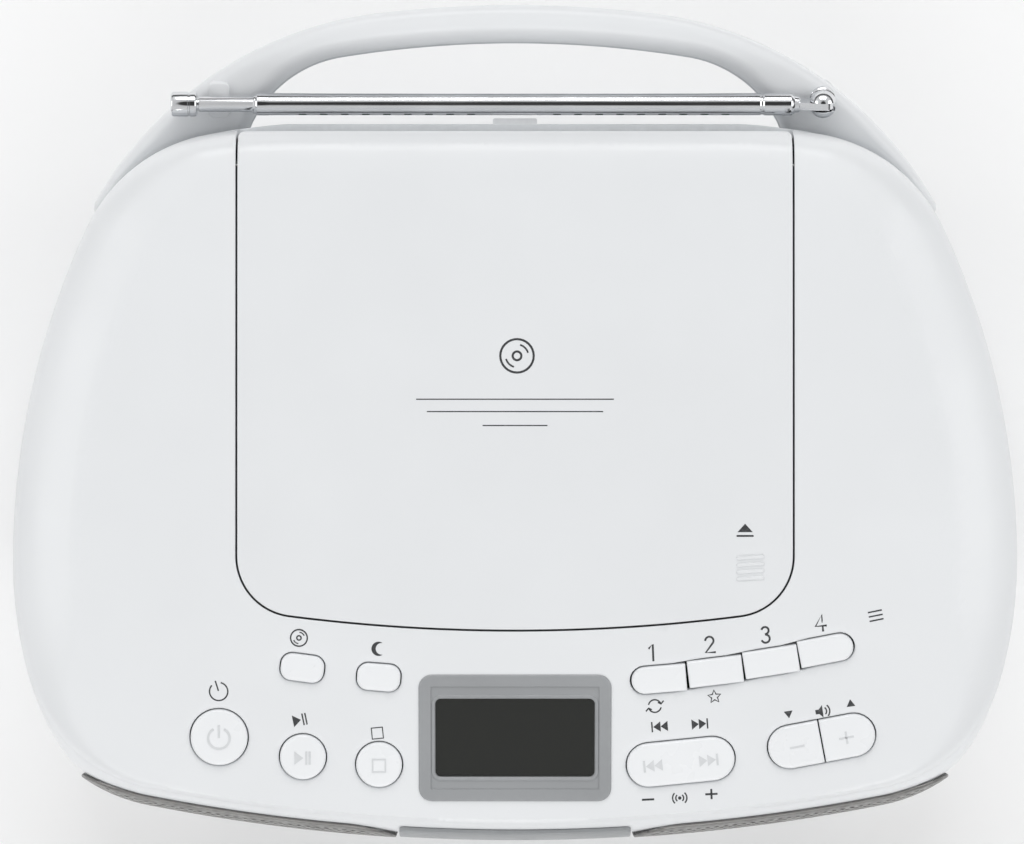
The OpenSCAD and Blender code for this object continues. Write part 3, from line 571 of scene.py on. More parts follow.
def border_rows():
    """Extra points in rows along the rim, close together where the surface is steep."""
    rows = []
    for distance in (0.12, 0.3, 0.6, 1.0, 1.6, 2.4, 3.4, 4.8, 6.4, 8.2, 10.2, 12.4, 14.8, 17.2):
        step = 1 if distance < 1.2 else 2 if distance < 4 else 3
        rows += [inward(p, distance) for p in rim[::step]]
    return rows


BODY_LOW = (-127, -105)  # the plan that the grids of points cover
BODY_HIGH = (127, 76)
FINE_STEP = 2.6
COARSE_STEP = 6


def make_top_cabinet():
    """The top cabinet's skin, with rounded edges round the lid and every opening."""
    surface = Surface()
    extra = border_rows() + grid(BODY_LOW, BODY_HIGH, FINE_STEP)
    grow = LID_SEAM + EDGE_R
    loop = cabinet_outline(grow)
    on_rim = np.array([p[2] for p in loop])
    upper = lift(loop, top_z)
    holes = [on_panel_plane(opening(KEY_GAP + EDGE_R)) for opening in OPENINGS]
    points, triangles = fill(upper, holes, extra, near=0.7)
    top = surface.add(lift(points, top_z))
    surface.patch(top, triangles)

    def ring(opening_grow, drop, rim_z, rim_inset):
        moved = np.array([(x, y) for x, y, _ in cabinet_outline(opening_grow, rim_inset)])
        if len(moved) != len(loop):
            raise ValueError("the cabinet's rings must have the same number of points")
        z = np.where(on_rim, rim_z, upper[:, 2] - drop)
        return np.column_stack([moved, z])

    loops = [top[:len(loop)]]
    for a in quarter(3)[1:]:
        rim_z = upper[:, 2] * (1 - math.sin(a)) + 0.4 * math.sin(a)
        loops.append(surface.add(ring(grow - EDGE_R * math.sin(a), EDGE_R * (1 - math.cos(a)), rim_z, 0)))
    loops.append(surface.add(ring(LID_SEAM, 1.2, 0.0, 0.3)))
    inner = cabinet_outline(LID_SEAM, WALL)
    inner_points = lift(inner, lambda xy: top_z(xy) - WALL)
    loops.append(surface.add(np.column_stack([inner_points[:, :2], np.where(on_rim, 0.0, inner_points[:, 2])])))
    inner_holes = [on_panel_plane(opening(KEY_GAP), WALL) for opening in OPENINGS]
    points, triangles = fill(inner, inner_holes, grid(BODY_LOW, BODY_HIGH, COARSE_STEP), near=2)
    under = surface.add(lift(points, lambda xy: np.maximum(top_z(xy) - WALL, 0.02)))
    surface.patch(under, triangles)
    loops.append(under[:len(loop)])
    surface.join(loops)

    first = len(loop)
    for opening, hole in zip(OPENINGS, holes):
        count = len(hole)
        edge = lift(hole, top_z)[:, 2]
        rings = [top[first:first + count]]
        for a in quarter(3)[1:]:
            drop = EDGE_R * (1 - math.cos(a))
            moved = on_panel_plane(opening(KEY_GAP + EDGE_R * (1 - math.sin(a))), drop)
            rings.append(surface.add([(x, y, z - drop) for (x, y), z in zip(moved, edge)]))
        rings.append(under[first:first + count])
        surface.join(rings)
        first += count
    return surface.build("top_shell", RIM_FRAME)


# ---- Lid --------------------------------------------------------------------------------------------


def lid_outline(grow):
    half = [inward(p, -grow) for p in lid_edge]
    return half + [(-x, y) for x, y in reversed(half[1:-1])]


LID_LOW = (-70, -56)
LID_HIGH = (70, 74)


def make_lid():
    """The lid's skin: a rounded edge, a skirt that is deeper at the hinge, and an underside."""
    surface = Surface()
    outer = lid_outline(-EDGE_R)
    upper = lift(outer, top_z)
    extra = border_rows() + grid(LID_LOW, LID_HIGH, FINE_STEP)
    points, triangles = fill(upper, [], extra, near=0.6)
    top = surface.add(lift(points, top_z))
    surface.patch(top, triangles)
    at_rear = upper[:, 1] > LID_REAR_Y - 1.2
    loops = [top[:len(outer)]]
    for a in quarter(3)[1:]:
        xy = lid_outline(-EDGE_R * (1 - math.sin(a)))
        drop = EDGE_R * (1 - math.cos(a))
        loops.append(surface.add([(x, y, z - drop) for (x, y), z in zip(xy, upper[:, 2])]))
    skirt = np.where(at_rear, 0.5, upper[:, 2] - WALL)
    loops.append(surface.add([(x, y, z) for (x, y), z in zip(lid_outline(0), skirt)]))
    inner = lid_outline(-1.2)
    loops.append(surface.add([(x, y, z) for (x, y), z in zip(inner, skirt)]))
    points, triangles = fill(inner, [], grid(LID_LOW, LID_HIGH, COARSE_STEP), near=2)
    under = surface.add(lift(points, lambda xy: top_z(xy) - WALL))
    surface.patch(under, triangles)
    loops.append(under[:len(inner)])
    surface.join(loops)
    return surface.build("lid_shell", RIM_FRAME)


# ---- Lower cabinets ---------------------------------------------------------------------------------
FLOOR_Z = 3.0  # underside of the cabinets, above the floor
SEAM = 0.2
LID_SWEEP = 1.2  # room below the rim for the lid's rear edge
SIDE_SEAM_Y = -30.0
FRONT_SWELL = 4.0
REAR_STEP = 1.1
FLOOR_EDGE_R = 1.6
SWELL_LEVELS = [0, 3, 7, 16, 60, 104]  # below the rim
front_profile = Curve(SWELL_LEVELS, [0, 1.9, 3, FRONT_SWELL, FRONT_SWELL, 0.6])
lean_profile = Curve(SWELL_LEVELS, [0, 0, 0, 0, 0, -1.5])


def body_xyz(point, out, depth):
    """A point of the wall under a rim point: out of it by out, and down by depth."""
    heading = abs(point[2])
    front = min(max((75 - heading) / 35, 0), 1)
    rear = min(max((heading - 171) / 8, 0), 1)
    grow = out + front * float(front_profile(depth)) + float(lean_profile(depth)) + rear * REAR_STEP
    x, y = inward(point, -grow)
    return (x, y, -depth)


def floor_depth(point):
    """How far below the rim the cabinet's floor is, under a rim point."""
    return (RIM_Z - FLOOR_Z + point[1] * math.sin(RIM_ANGLE)) / math.cos(RIM_ANGLE)


def wall_top(point):
    """How far below the rim the wall starts: lower behind the lid, whose rear edge swings down there."""
    behind_lid = abs(point[0]) < LID_HALF_W + LID_SEAM and point[1] > 68
    return LID_SWEEP if behind_lid else SEAM


def wall_rows(points, out, edge, floor_edge):
    """Rows of a wall from its top down to the floor, with both edges rounded."""
    tops = [wall_top(p) for p in points]
    rows = []
    for a in quarter(3):
        inset, drop = edge * (1 - math.sin(a)), edge * (1 - math.cos(a))
        rows.append([body_xyz(p, out - inset, top + drop) for p, top in zip(points, tops)])
    for share in (0.02, 0.05, 0.09, 0.14, 0.22, 0.34, 0.5, 0.66, 0.8, 0.9):
        rows.append([body_xyz(p, out, top + (floor_depth(p) - top) * share) for p, top in zip(points, tops)])
    for a in quarter(4):
        inset, lift_by = floor_edge * (1 - math.cos(a)), floor_edge * (1 - math.sin(a))
        rows.append([body_xyz(p, out - inset, floor_depth(p) - lift_by) for p in points])
    return rows


def make_wall(name, points):
    """One half of the lower cabinet: a wall with a thickness, open above and below."""
    surface = Surface()
    outside = wall_rows(points, 0, 0.3, FLOOR_EDGE_R)
    inside = wall_rows(points, -WALL, 0, 0)
    rows = surface.rows(outside + inside[::-1], closed=False)
    surface.bridge(rows[-1], rows[0], closed=False)
    for end in (0, -1):
        surface.cap([row[end] for row in rows])
    return surface.build(name, RIM_FRAME)


def rim_run(is_in):
    """The part of the rim where is_in holds, in order and without a break."""
    kept = [is_in(p) for p in rim]
    first = next(i for i in range(len(rim)) if kept[i] and not kept[i - 1])
    count = sum(kept)
    return [rim[(first + i) % len(rim)] for i in range(count)]


def cut(target, cutters):
    """Takes the cutters' shapes out of the target's mesh and removes them."""
    for cutter in cutters:
        modifier = target.modifiers.new("cut", "BOOLEAN")
        modifier.operation = "DIFFERENCE"
        modifier.solver = "EXACT"
        modifier.object = cutter
    bpy.context.view_layer.update()
    shape = target.evaluated_get(bpy.context.evaluated_depsgraph_get())
    mesh = bpy.data.meshes.new_from_object(shape)
    target.modifiers.clear()
    target.data = mesh
    bm = bmesh.new()
    bm.from_mesh(mesh)
    bmesh.ops.remove_doubles(bm, verts=bm.verts, dist=2e-6)
    finish_edges(bm, 32)
    bm.to_mesh(mesh)
    bm.free()
    for cutter in cutters:
        bpy.data.objects.remove(cutter)


def prism(name, outline, low, high, matrix):
    """A straight solid over an outline, from low to high along the frame's Z."""
    surface = Surface()
    surface.solid([at_height(outline, low), at_height(outline, high)])
    return surface.build(name, matrix)


def joined(name, parts):
    """Several mesh objects as one."""
    bm = bmesh.new()
    for part in parts:
        bm.from_mesh(part.data)
        bpy.data.objects.remove(part)
    mesh = bpy.data.meshes.new(name)
    bm.to_mesh(mesh)
    bm.free()
    return linked(name, mesh)


def facing(x, y, z, back=True):
    """A frame whose +Z points to the rear (or the front) from a point of the row frame."""
    turn = Matrix.Rotation(math.radians(-90 if back else 90), 4, "X")
    return Matrix.Translation((x, y, z)) @ turn


DUCT_R = 33.0
INLET = (21, 13)
JACK_R = 3.4
VENT = (2.1, 10)
VENT_PITCH = 5.34
VENT_FIRST = 10.9
VENT_COUNT = 9  # on each side


def centre_mm(node):
    """The middle of a CAD node in millimetres."""
    low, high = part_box(node)
    return (low + high) / 2 / MM


def make_front_cabinet():
    wall = make_wall("front_shell", rim_run(lambda p: p[1] < SIDE_SEAM_Y - 0.15))
    holes = []
    for node in ("speaker_left", "speaker_right"):
        at = centre_mm(node)
        holes.append(prism("duct", circle(DUCT_R, 64), -20, 40, facing(at.x, -100, at.z)))
    cut(wall, [joined("ducts", holes)])
    return wall


def make_rear_cabinet():
    wall = make_wall("rear_shell", rim_run(lambda p: p[1] > SIDE_SEAM_Y + 0.15))
    inlet = centre_mm("ac_inlet")
    holes = [prism("inlet", rounded(*INLET, (2,) * 4), 0, 30, facing(inlet.x, 60, inlet.z))]
    for node in ("headphone_jack", "line_in_jack"):
        at = centre_mm(node)
        holes.append(prism(node, circle(JACK_R), 0, 30, facing(at.x, 60, at.z)))
    slot = rounded(*VENT, (0.6,) * 4)
    for side in (-1, 1):
        for i in range(VENT_COUNT):
            at = (side * (VENT_FIRST + i * VENT_PITCH), 78, -7)
            turn = RIM_FRAME @ Matrix.Translation(at) @ Matrix.Rotation(math.radians(90), 4, "X")
            holes.append(prism("vent", slot, -6, 10, turn))
    cut(wall, [joined("rear_holes", holes)])
    return wall


# ---- Grilles and badge strip on the front -----------------------------------------------------------
GRILLE_X = (30.0, 108.0)
GRILLE_Z = (14.0, 84.0)
GRILLE_CORNER = 12.0
GRILLE_OUT = 0.75
GRILLE_T = 0.6
GRILLE_BULGE = 0.9
HOLE_PITCH = 2.3
HOLE_R = 0.72
front_half = [p for p in half_rim if p[1] < -20]
front_length = np.cumsum([0] + [math.dist(a[:2], b[:2]) for a, b in zip(front_half, front_half[1:])])
front_x = np.array([p[0] for p in front_half])
front_y = np.array([p[1] for p in front_half])
front_h = np.array([p[2] for p in front_half])


def front_point(s, z, out):
    """A point on the front wall: s along the rim from the middle, at height z above the floor."""
    side = -1 if s < 0 else 1
    s = abs(s)
    x, y, h = (float(np.interp(s, front_length, v)) for v in (front_x, front_y, front_h))
    depth = (RIM_Z - z + y * math.sin(RIM_ANGLE)) / math.cos(RIM_ANGLE)
    px, py, pz = body_xyz((x, y, h), out, max(depth, SEAM))
    return (side * px, py, pz)


def front_plate(name, low, high, corner, out, thickness, bulge=0.0, holes=(), keep=None, step=3.0):
    """A plate that follows the front wall, over a rounded rectangle from low to high, with holes through it."""
    middle = ((low[0] + high[0]) / 2, (low[1] + high[1]) / 2)
    size = (high[0] - low[0], high[1] - low[1])
    edge = 0.4

    def stand_off(z):
        share = min(1, abs(z - middle[1]) / (size[1] / 2))
        return out + bulge * math.sqrt(1 - share ** 2)

    def outline(inset):
        return turned(rounded(*size, (corner,) * 4, inset), 0, middle)

    def sides(inset):
        loop = outline(inset)
        return list(zip(loop, loop[1:] + loop[:1]))

    spread = [max(1, round(math.dist(a, b) / step)) for a, b in sides(edge)]

    def ring(inset):
        """The outline with points added evenly along its straight runs."""
        return [between(a, b, i, count) for (a, b), count in zip(sides(inset), spread) for i in range(count)]

    surface = Surface()

    def add_at(places, depth):
        """Adds points this deep below the plate's face."""
        return surface.add([front_point(s, z, stand_off(z) - depth) for s, z in places])

    points, triangles = fill(ring(edge), holes, grid(low, high, step), keep, near=0.5)
    front = add_at(points, 0)
    back = add_at(points, thickness)
    surface.patch(front, triangles)
    surface.patch(back, triangles)
    count = sum(spread)
    rings = [front[:count]]
    for a in quarter(3)[1:]:
        rings.append(add_at(ring(edge * (1 - math.sin(a))), edge * (1 - math.cos(a))))
    rings.append(add_at(ring(0), thickness))
    rings.append(back[:count])
    surface.join(rings)
    for hole in holes:
        surface.bridge(front[count:count + len(hole)], back[count:count + len(hole)])
        count += len(hole)
    return surface.build(name, RIM_FRAME)


def make_grille(side):
    """A curved plate of thin metal with round holes in a triangular pattern."""
    # The plate's ends are given across the front; along the rim they are a little further out.
    forward = front_x < front_x.max() - 2
    s_ends = sorted(side * float(np.interp(x, front_x[forward], front_length[forward])) for x in GRILLE_X)
    low, high = (s_ends[0], GRILLE_Z[0]), (s_ends[1], GRILLE_Z[1])
    middle = ((low[0] + high[0]) / 2, (low[1] + high[1]) / 2)
    size = (high[0] - low[0], high[1] - low[1])
    field = np.array(turned(rounded(*size, (GRILLE_CORNER,) * 4, 1.3), 0, middle))
    centres = np.array(grid((low[0] + 1.4, low[1] + 1.4), high, HOLE_PITCH))
    centres = centres[in_polygon(centres, field)]
    hole = circle(HOLE_R, 10)
    holes = [[(cx + x, cy + y) for x, y in hole] for cx, cy in centres]
    tree = search_tree(centres)
    inside_r = HOLE_R * 0.93

    def keep(xy):
        return np.array([tree.find((x, y, 0))[2] > inside_r for x, y in xy])

    name = "grille_mesh_left" if side < 0 else "grille_mesh_right"
    return front_plate(name, low, high, GRILLE_CORNER, GRILLE_OUT, GRILLE_T, GRILLE_BULGE, holes, keep, 2.0)


BADGE_LOW = (-29.2, 12.2)
BADGE_HIGH = (29.2, 84.8)
BADGE_CORNER = 1.2
BADGE_OUT = 1.2
BADGE_T = 1.1


def make_badge_strip():
    """The plain upright strip between the grilles."""
    return front_plate("badge_strip", BADGE_LOW, BADGE_HIGH, BADGE_CORNER, BADGE_OUT, BADGE_T)


# ---- Handle -----------------------------------------------------------------------------------------
HANDLE_OUTER_START = (108.4, 55.45)
HANDLE_OUTER = [(98, 120, 173.5), (306, 173.5, 180)]
HANDLE_INNER_START = (67.57, 76.5)
HANDLE_INNER = [(31.5, 117, 171), (284, 171, 180)]
FACE_Z = -3.8
SPLIT_Z = FACE_Z - 6
HANDLE_LOW_Z = FACE_Z - 15
HANDLE_SPLIT = 0.1
HANDLE_EDGE_R = 3.4
HANDLE_STATIONS = 84


def resampled(points, count):
    """The same path as evenly spaced points."""
    xy = np.array([p[:2] for p in points])
    along = np.concatenate([[0], np.cumsum(np.linalg.norm(np.diff(xy, axis=0), axis=1))])
    at = np.linspace(0, along[-1], count)
    return np.column_stack([np.interp(at, along, xy[:, 0]), np.interp(at, along, xy[:, 1])])


def handle_paths():
    """The handle's outer and inner edges over its right half, from its root in the cabinet to the middle."""
    outer = [(103.5, 46.0), (106.3, 51.0)] + [p[:2] for p in chain(HANDLE_OUTER_START, HANDLE_OUTER)]
    beside = [inward(p, 1.0) for p in half_rim if p[1] > 45 and p[0] > HANDLE_INNER_START[0] + 1.2]
    inner = beside + [p[:2] for p in chain(HANDLE_INNER_START, HANDLE_INNER)]
    return resampled(outer, HANDLE_STATIONS), resampled(inner, HANDLE_STATIONS)


def handle_height(y, local_z):
    """Rim-frame height of the plane at local_z in the handle frame, over a plan position."""
    return ANTENNA_Z + (y - ANTENNA_Y) * math.tan(HANDLE_ANGLE) + local_z / math.cos(HANDLE_ANGLE)


def handle_section(width, face, split, face_r, crown):
    """Across and up positions round half of the handle bar; face is its outer surface and split the seam."""
    down = 1 if face > split else -1
    r = min(face_r, width * 0.42)
    edge = min(0.35, width * 0.1)
    points = [(edge, split), (0, split + down * edge)]
    points += [(r - r * math.cos(a), face - down * r * (1 - math.sin(a))) for a in quarter(5)]
    middle = [r + (width - 2 * r) * t for t in (0.15, 0.3, 0.5, 0.7, 0.85)]
    points += [(m, face) for m in middle]
    points += [(width - r + r * math.sin(a), face - down * r * (1 - math.cos(a))) for a in quarter(5)]
    points += [(width, split + down * edge), (width - edge, split)]
    half = width / 2
    return [(a, z - down * crown * ((a - half) / half) ** 2 if abs(z - split) > 1 else z) for a, z in points]


def make_handle_half(name, face, split, face_r, crown):
    """One half of the handle: its section carried from root to root."""
    surface = Surface()
    outer, inner = handle_paths()
    stations = list(zip(outer, inner))
    stations += [((-o[0], o[1]), (-i[0], i[1])) for o, i in reversed(stations[:-1])]
    loops = []
    for o, i in stations:
        width = math.dist(o, i)
        ux, uy = (o[0] - i[0]) / width, (o[1] - i[1]) / width
        loop = []
        for across, z in handle_section(width, face, split, face_r, crown):
            x, y = i[0] + ux * across, i[1] + uy * across
            loop.append((x, y, handle_height(y, z)))
        loops.append(loop)
    surface.solid(loops)
    return surface.build(name, RIM_FRAME, sharp=40)


REST_X = -75.2
REST_Z = -2.8
REST = (5.4, 9.4)
REST_CORNER = 1.6
SWIVEL_X = 78.2


def make_antenna_rest():
    """The pad that the folded antenna's thin end lies over."""
    pad = Surface()
    loops = []
    for inset, z in ((0, FACE_Z - 1.2), (0, REST_Z - 0.5), (0.25, REST_Z - 0.15), (0.7, REST_Z)):
        loops.append([(REST_X + x, y, z) for x, y in rounded(*REST, (REST_CORNER,) * 4, inset)])
    pad.solid(loops)
    return pad.build("antenna_rest", HANDLE_FRAME)


REAR_TAB = (11.2, 3.8)
REAR_TAB_Y = 75.2
REAR_TAB_Z = (-8, -1.25)


def make_rear_tab():
    """The small block behind the lid, between the two rows of vents."""
    place = RIM_FRAME @ Matrix.Translation((0, REAR_TAB_Y, 0))
    return prism("rear_tab", rounded(*REAR_TAB, (0.5,) * 4), *REAR_TAB_Z, place)


# ---- Antenna ----------------------------------------------------------------------------------------
BALL_R = 3.55
STALK_R = 3.3
STALK_END = 10.4
SLOT_W = 2.3
PIN_R = 0.85
PIN_HALF_L = 3.5
TONGUE_R = 2.6
TONGUE_NECK = 1.7  # half its width where it meets the tube
TONGUE_HALF_T = 0.95
TUBE_R = (2.85, 2.4, 1.95, 1.5)
TUBE_SKIN = 0.4
TUBE_L = 137.0
FERRULE_L = 9.0
TUBE_END = SWIVEL_X - 7
CAP_R = 3.2
CAP_L = 6.6
OPEN_END = TUBE_END - TUBE_L


def lathe(name, profile, matrix, count=40, sharp=28):
    """A turned solid about +Z; the profile runs (radius, height), closed on the axis where its radius is 0."""
    surface = Surface()
    rows = []
    for r, z in profile:
        if r > 0.01:
            rows.append(surface.add(at_height(circle(r, count), z)))
        else:
            rows.append(surface.add([(0, 0, z)]) * count)
    for low, high in zip(rows, rows[1:]):
        for i in range(count):
            j = (i + 1) % count
            face = [low[i], low[j], high[j], high[i]]
            surface.faces.append(tuple(dict.fromkeys(face)))
    return surface.build(name, matrix, sharp)


def towards_tip(x):
    """A frame in the handle's whose +Z runs along the antenna from x towards its tip."""
    return HANDLE_FRAME @ Matrix.Translation((x, 0, 0)) @ Matrix.Rotation(math.radians(-90), 4, "Y")


def make_swivel():
    """A ball on a stalk, with the slot that the elbow folds in and the pin through it."""
    middle = HANDLE_FRAME @ Matrix.Translation((SWIVEL_X, 0, 0))
    ball = [(0, -BALL_R)]
    ball += [(BALL_R * math.sin(a), -BALL_R * math.cos(a)) for a in np.linspace(0.12, 2.1, 26)]
    ball += [(2.7, 2.3), (2.9, 2.9), (STALK_R, 3.3), (STALK_R, STALK_END), (0, STALK_END)]
    body = lathe("antenna_ball", ball, middle @ Matrix.Rotation(math.pi, 4, "X"))
    cut(body, [prism("slot", rounded(20, SLOT_W, (0.3,) * 4), -3, 9, middle)])
    pin = [(0, -PIN_HALF_L), (0.7, -PIN_HALF_L), (PIN_R, -3.3), (PIN_R, 3.3), (0.7, PIN_HALF_L), (0, PIN_HALF_L)]
    across = middle @ Matrix.Rotation(math.radians(90), 4, "X")
    return joined("antenna_knuckle", [body, lathe("antenna_pin", pin, across, 24)])


def make_tube_1():
    """The outer tube with its ferrule and the flat tongue that turns in the knuckle."""
    r = TUBE_R[0]
    shank = 2.8
    groove = 2.62
    bore = 2.45
    profile = [(0, -1.2), (1.7, -1.2), (2.0, -0.9), (2.2, 0.2), (2.7, 0.8), (r, 1.1), (r, FERRULE_L - 1.1)]
    profile += [(groove, FERRULE_L - 0.7), (groove, FERRULE_L - 0.3), (shank, FERRULE_L)]
    profile += [(shank, TUBE_L - 3.4), (r, TUBE_L - 3.2), (r, TUBE_L - 0.4), (2.6, TUBE_L)]
    profile += [(bore, TUBE_L), (bore, 4), (0, 4)]
    tube = lathe("tube", profile, towards_tip(TUBE_END), sharp=24)
    tongue = Surface()
    disc = [(SWIVEL_X + TONGUE_R * math.cos(a), TONGUE_R * math.sin(a)) for a in np.linspace(-1.9, 1.9, 20)]
    root = TUBE_END - 0.5
    outline = [(root, -TONGUE_NECK)] + disc + [(root, TONGUE_NECK)]
    tongue.solid([[(x, y, z) for x, z in outline] for y in (-TONGUE_HALF_T, TONGUE_HALF_T)])
    return joined("antenna_outer", [tube, tongue.build("tongue", HANDLE_FRAME)])


def section_start(i):
    """Where a sliding section's inner end is when the antenna is closed."""
    return TUBE_END - 3.5 - 2.5 * i


def make_sliding_tube(name, i, reach):
    """A thin tube that stands out of the one round it by reach."""
    start = section_start(i)
    length = start - OPEN_END + reach
    r = TUBE_R[i]
    bore = r - TUBE_SKIN
    profile = [(0, 0), (r - 0.1, 0), (r, 0.1), (r, length - 0.3), (r - 0.12, length)]
    profile += [(bore, length), (bore, 1.5), (0, 1.5)]
    return lathe(name, profile, towards_tip(start))


def make_tip():
    """The innermost rod with the pull cap on its end."""
    start = section_start(3)
    r = TUBE_R[3]
    rod = start - OPEN_END + 14.9
    end = rod + CAP_L
    profile = [(0, 0), (r - 0.1, 0), (r, 0.1), (r, rod), (2.7, rod), (3.05, rod + 0.15), (CAP_R, rod + 0.45)]
    profile += [(CAP_R, rod + 1.7), (3.0, rod + 1.85), (3.0, rod + 2.15), (CAP_R, rod + 2.3)]
    profile += [(CAP_R, end - 0.7), (3.0, end - 0.25), (2.6, end), (1.2, end), (0, end - 0.12)]
    return lathe("antenna_cap", profile, towards_tip(start), sharp=24)


# ---- Keys -------------------------------------------------------------------------------------------
KEY_LOW = -4.1
KEY_EDGE_R = 0.75
KEY_CROWN = {"power_button": 0.55, "play_button": 0.5, "stop_button": 0.5, "skip_rocker": 0.5,
             "volume_down_key": 0.5, "volume_up_key": 0.5}
FLAT_CROWN = 0.4


def make_key(name):
    """A key cap: straight sides, a rounded edge and a crowned face."""
    at, shape, turn = KEYS[name]
    outline = np.array(shape())
    reach = float(min(np.ptp(outline[:, 0]), np.ptp(outline[:, 1]))) / 2
    crown = KEY_CROWN.get(name, FLAT_CROWN)
    edge = KEY_EDGE_R
    rise_at_edge = crown * (1 - (1 - edge / reach) ** 2)
    profile = [(0, KEY_LOW), (0, KEY_RISE - edge)]
    profile += [(edge * (1 - math.cos(a)), KEY_RISE - edge * (1 - math.sin(a))) for a in quarter(5)[1:]]
    for share in (0.3, 0.45, 0.6, 0.75, 0.88, 0.96):
        inset = reach * share
        if inset > edge + 0.1:
            profile.append((inset, KEY_RISE + crown * (1 - (1 - share) ** 2) - rise_at_edge))
    surface = Surface()
    surface.solid([at_height(turned(shape(inset), turn, at), z) for inset, z in profile])
    return surface.build(f"{name}_cap", PANEL_FRAME, sharp=38)


# ---- Icons and printed marks ------------------------------------------------------------------------


def stroke(points, width, closed=False):
    """A line of even width along points, as rows of left and right points."""
    path = np.array(points, float)
    if closed:
        before, after = np.roll(path, 1, axis=0), np.roll(path, -1, axis=0)
    else:
        before = np.vstack([path[:1], path[:-1]])
        after = np.vstack([path[1:], path[-1:]])
    along = after - before
    along /= np.linalg.norm(along, axis=1)[:, None]
    across = np.column_stack([-along[:, 1], along[:, 0]]) * width / 2
    if not closed:
        path[0] -= along[0] * width / 2
        path[-1] += along[-1] * width / 2
    return (path + across, path - across, closed)


def arc(r, start, end, count=18, at=(0, 0)):
    angles = [math.radians(start + (end - start) * i / count) for i in range(count + 1)]
    return [(at[0] + r * math.cos(a), at[1] + r * math.sin(a)) for a in angles]


def ring(r, at=(0, 0)):
    return [(at[0] + x, at[1] + y) for x, y in circle(r, 32)]


def block(x1, y1, x2, y2):
    """A filled upright rectangle, as a stroke."""
    return stroke([((x1 + x2) / 2, y1 + (x2 - x1) / 2), ((x1 + x2) / 2, y2 - (x2 - x1) / 2)], x2 - x1)


def wedge(base_x, tip_x, half):
    """A filled triangle that points along X, as a pair of rows that meet at its tip."""
    return (np.array([(base_x, half), (tip_x, 0.02)]), np.array([(base_x, -half), (tip_x, -0.02)]), False)


def pointed(base_y, tip_y, half):
    """A filled triangle that points along Y."""
    return (np.array([(-half, base_y), (-0.02, tip_y)]), np.array([(half, base_y), (0.02, tip_y)]), False)


def power_icon(r, w):
    return [stroke(arc(r, 125, 415, 28), w), stroke([(0, r * 0.15), (0, r * 1.15)], w)]


def play_icon(h, w):
    bars = [block(h * x, -h, h * x + w, h) for x in (0.35, 0.85)]
    return [wedge(-h * 1.25, h * 0.1, h), *bars]


def stop_icon(h, w):
    return [stroke([(-h, -h), (h, -h), (h, h), (-h, h)], w, True)]


def skip_icon(side, h, w):
    bar = side * (h * 1.75)
    return [wedge(-side * h * 1.3, side * h * 0.05, h), wedge(side * h * 0.1, side * h * 1.5, h),
            block(bar - w / 2, -h, bar + w / 2, h)]


def minus_icon(h, w):
    return [stroke([(-h, 0), (h, 0)], w)]


def plus_icon(h, w):
    return [stroke([(-h, 0), (h, 0)], w), block(-w / 2, -h, w / 2, h)]


def disc_icon(r, w):
    return [stroke(ring(r), w, True), stroke(ring(r * 0.26), w, True), stroke(arc(r * 0.68, 20, 70), w * 0.8),
            stroke(arc(r * 0.68, 200, 250), w * 0.8)]


def wave_icon(r, w):
    dot = stroke(ring(r * 0.12), r * 0.24, True)
    return [dot] + [stroke(arc(r * k, a, b), w) for k in (0.55, 1) for a, b in ((-40, 40), (140, 220))]


def moon_icon(r, w):
    outer = arc(r, 60, 300, 22)
    inner = arc(r * 0.82, 82, 278, 22, (r * 0.42, 0))
    return [(np.array(outer), np.array(inner), False)]


def star_icon(r, w):
    reach = [r, r * 0.45] * 5
    tips = [(d * math.sin(math.pi * i / 5), d * math.cos(math.pi * i / 5)) for i, d in enumerate(reach)]
    return [stroke(tips, w, True)]


def list_icon(r, w):
    return [stroke([(-r, y), (r, y)], w) for y in (-r * 0.7, 0, r * 0.7)]


def loop_icon(r, w):
    arrows = [stroke([(s * 0.6, s * 0.5), (s, s * 0.3), (s * 1.35, s * 0.7)], w) for s in (r, -r)]
    return [stroke(arc(r, 20, 160), w), stroke(arc(r, 200, 340), w), *arrows]


def speaker_icon(h, w):
    horn = (np.array([(-h * 0.9, h * 0.35), (-h * 0.35, h * 0.35), (h * 0.25, h)]),
            np.array([(-h * 0.9, -h * 0.35), (-h * 0.35, -h * 0.35), (h * 0.25, -h)]), False)
    return [horn, *(stroke(arc(h * k, -40, 40, 10, (h * 0.15, 0)), w) for k in (0.7, 1.2))]


def open_icon(h, w):
    return [pointed(-h * 0.1, h, h), stroke([(-h, -h * 0.6), (h, -h * 0.6)], w)]


def numeral(n, h, w):
    """A plain figure from 1 to 4."""
    r = h * 0.45
    if n == 1:
        return [stroke([(-h * 0.45, h * 0.55), (0, h), (0, -h)], w)]
    if n == 2:
        curve = arc(r * 1.15, 165, -35, 12, (0, h - r * 1.15))
        return [stroke(curve + [(-h * 0.55, -h), (h * 0.6, -h)], w)]
    if n == 3:
        upper = arc(r, 150, -80, 12, (0, h - r))
        lower = arc(r * 1.15, 80, -150, 12, (0, -h + r * 1.15))
        return [stroke(upper, w), stroke(lower, w)]
    return [stroke([(h * 0.25, -h), (h * 0.25, h), (-h * 0.65, -h * 0.4), (h * 0.65, -h * 0.4)], w)]


def placed_icon(parts, at, turn=0.0):
    return [(np.array(turned(a, turn, at)), np.array(turned(b, turn, at)), closed) for a, b, closed in parts]


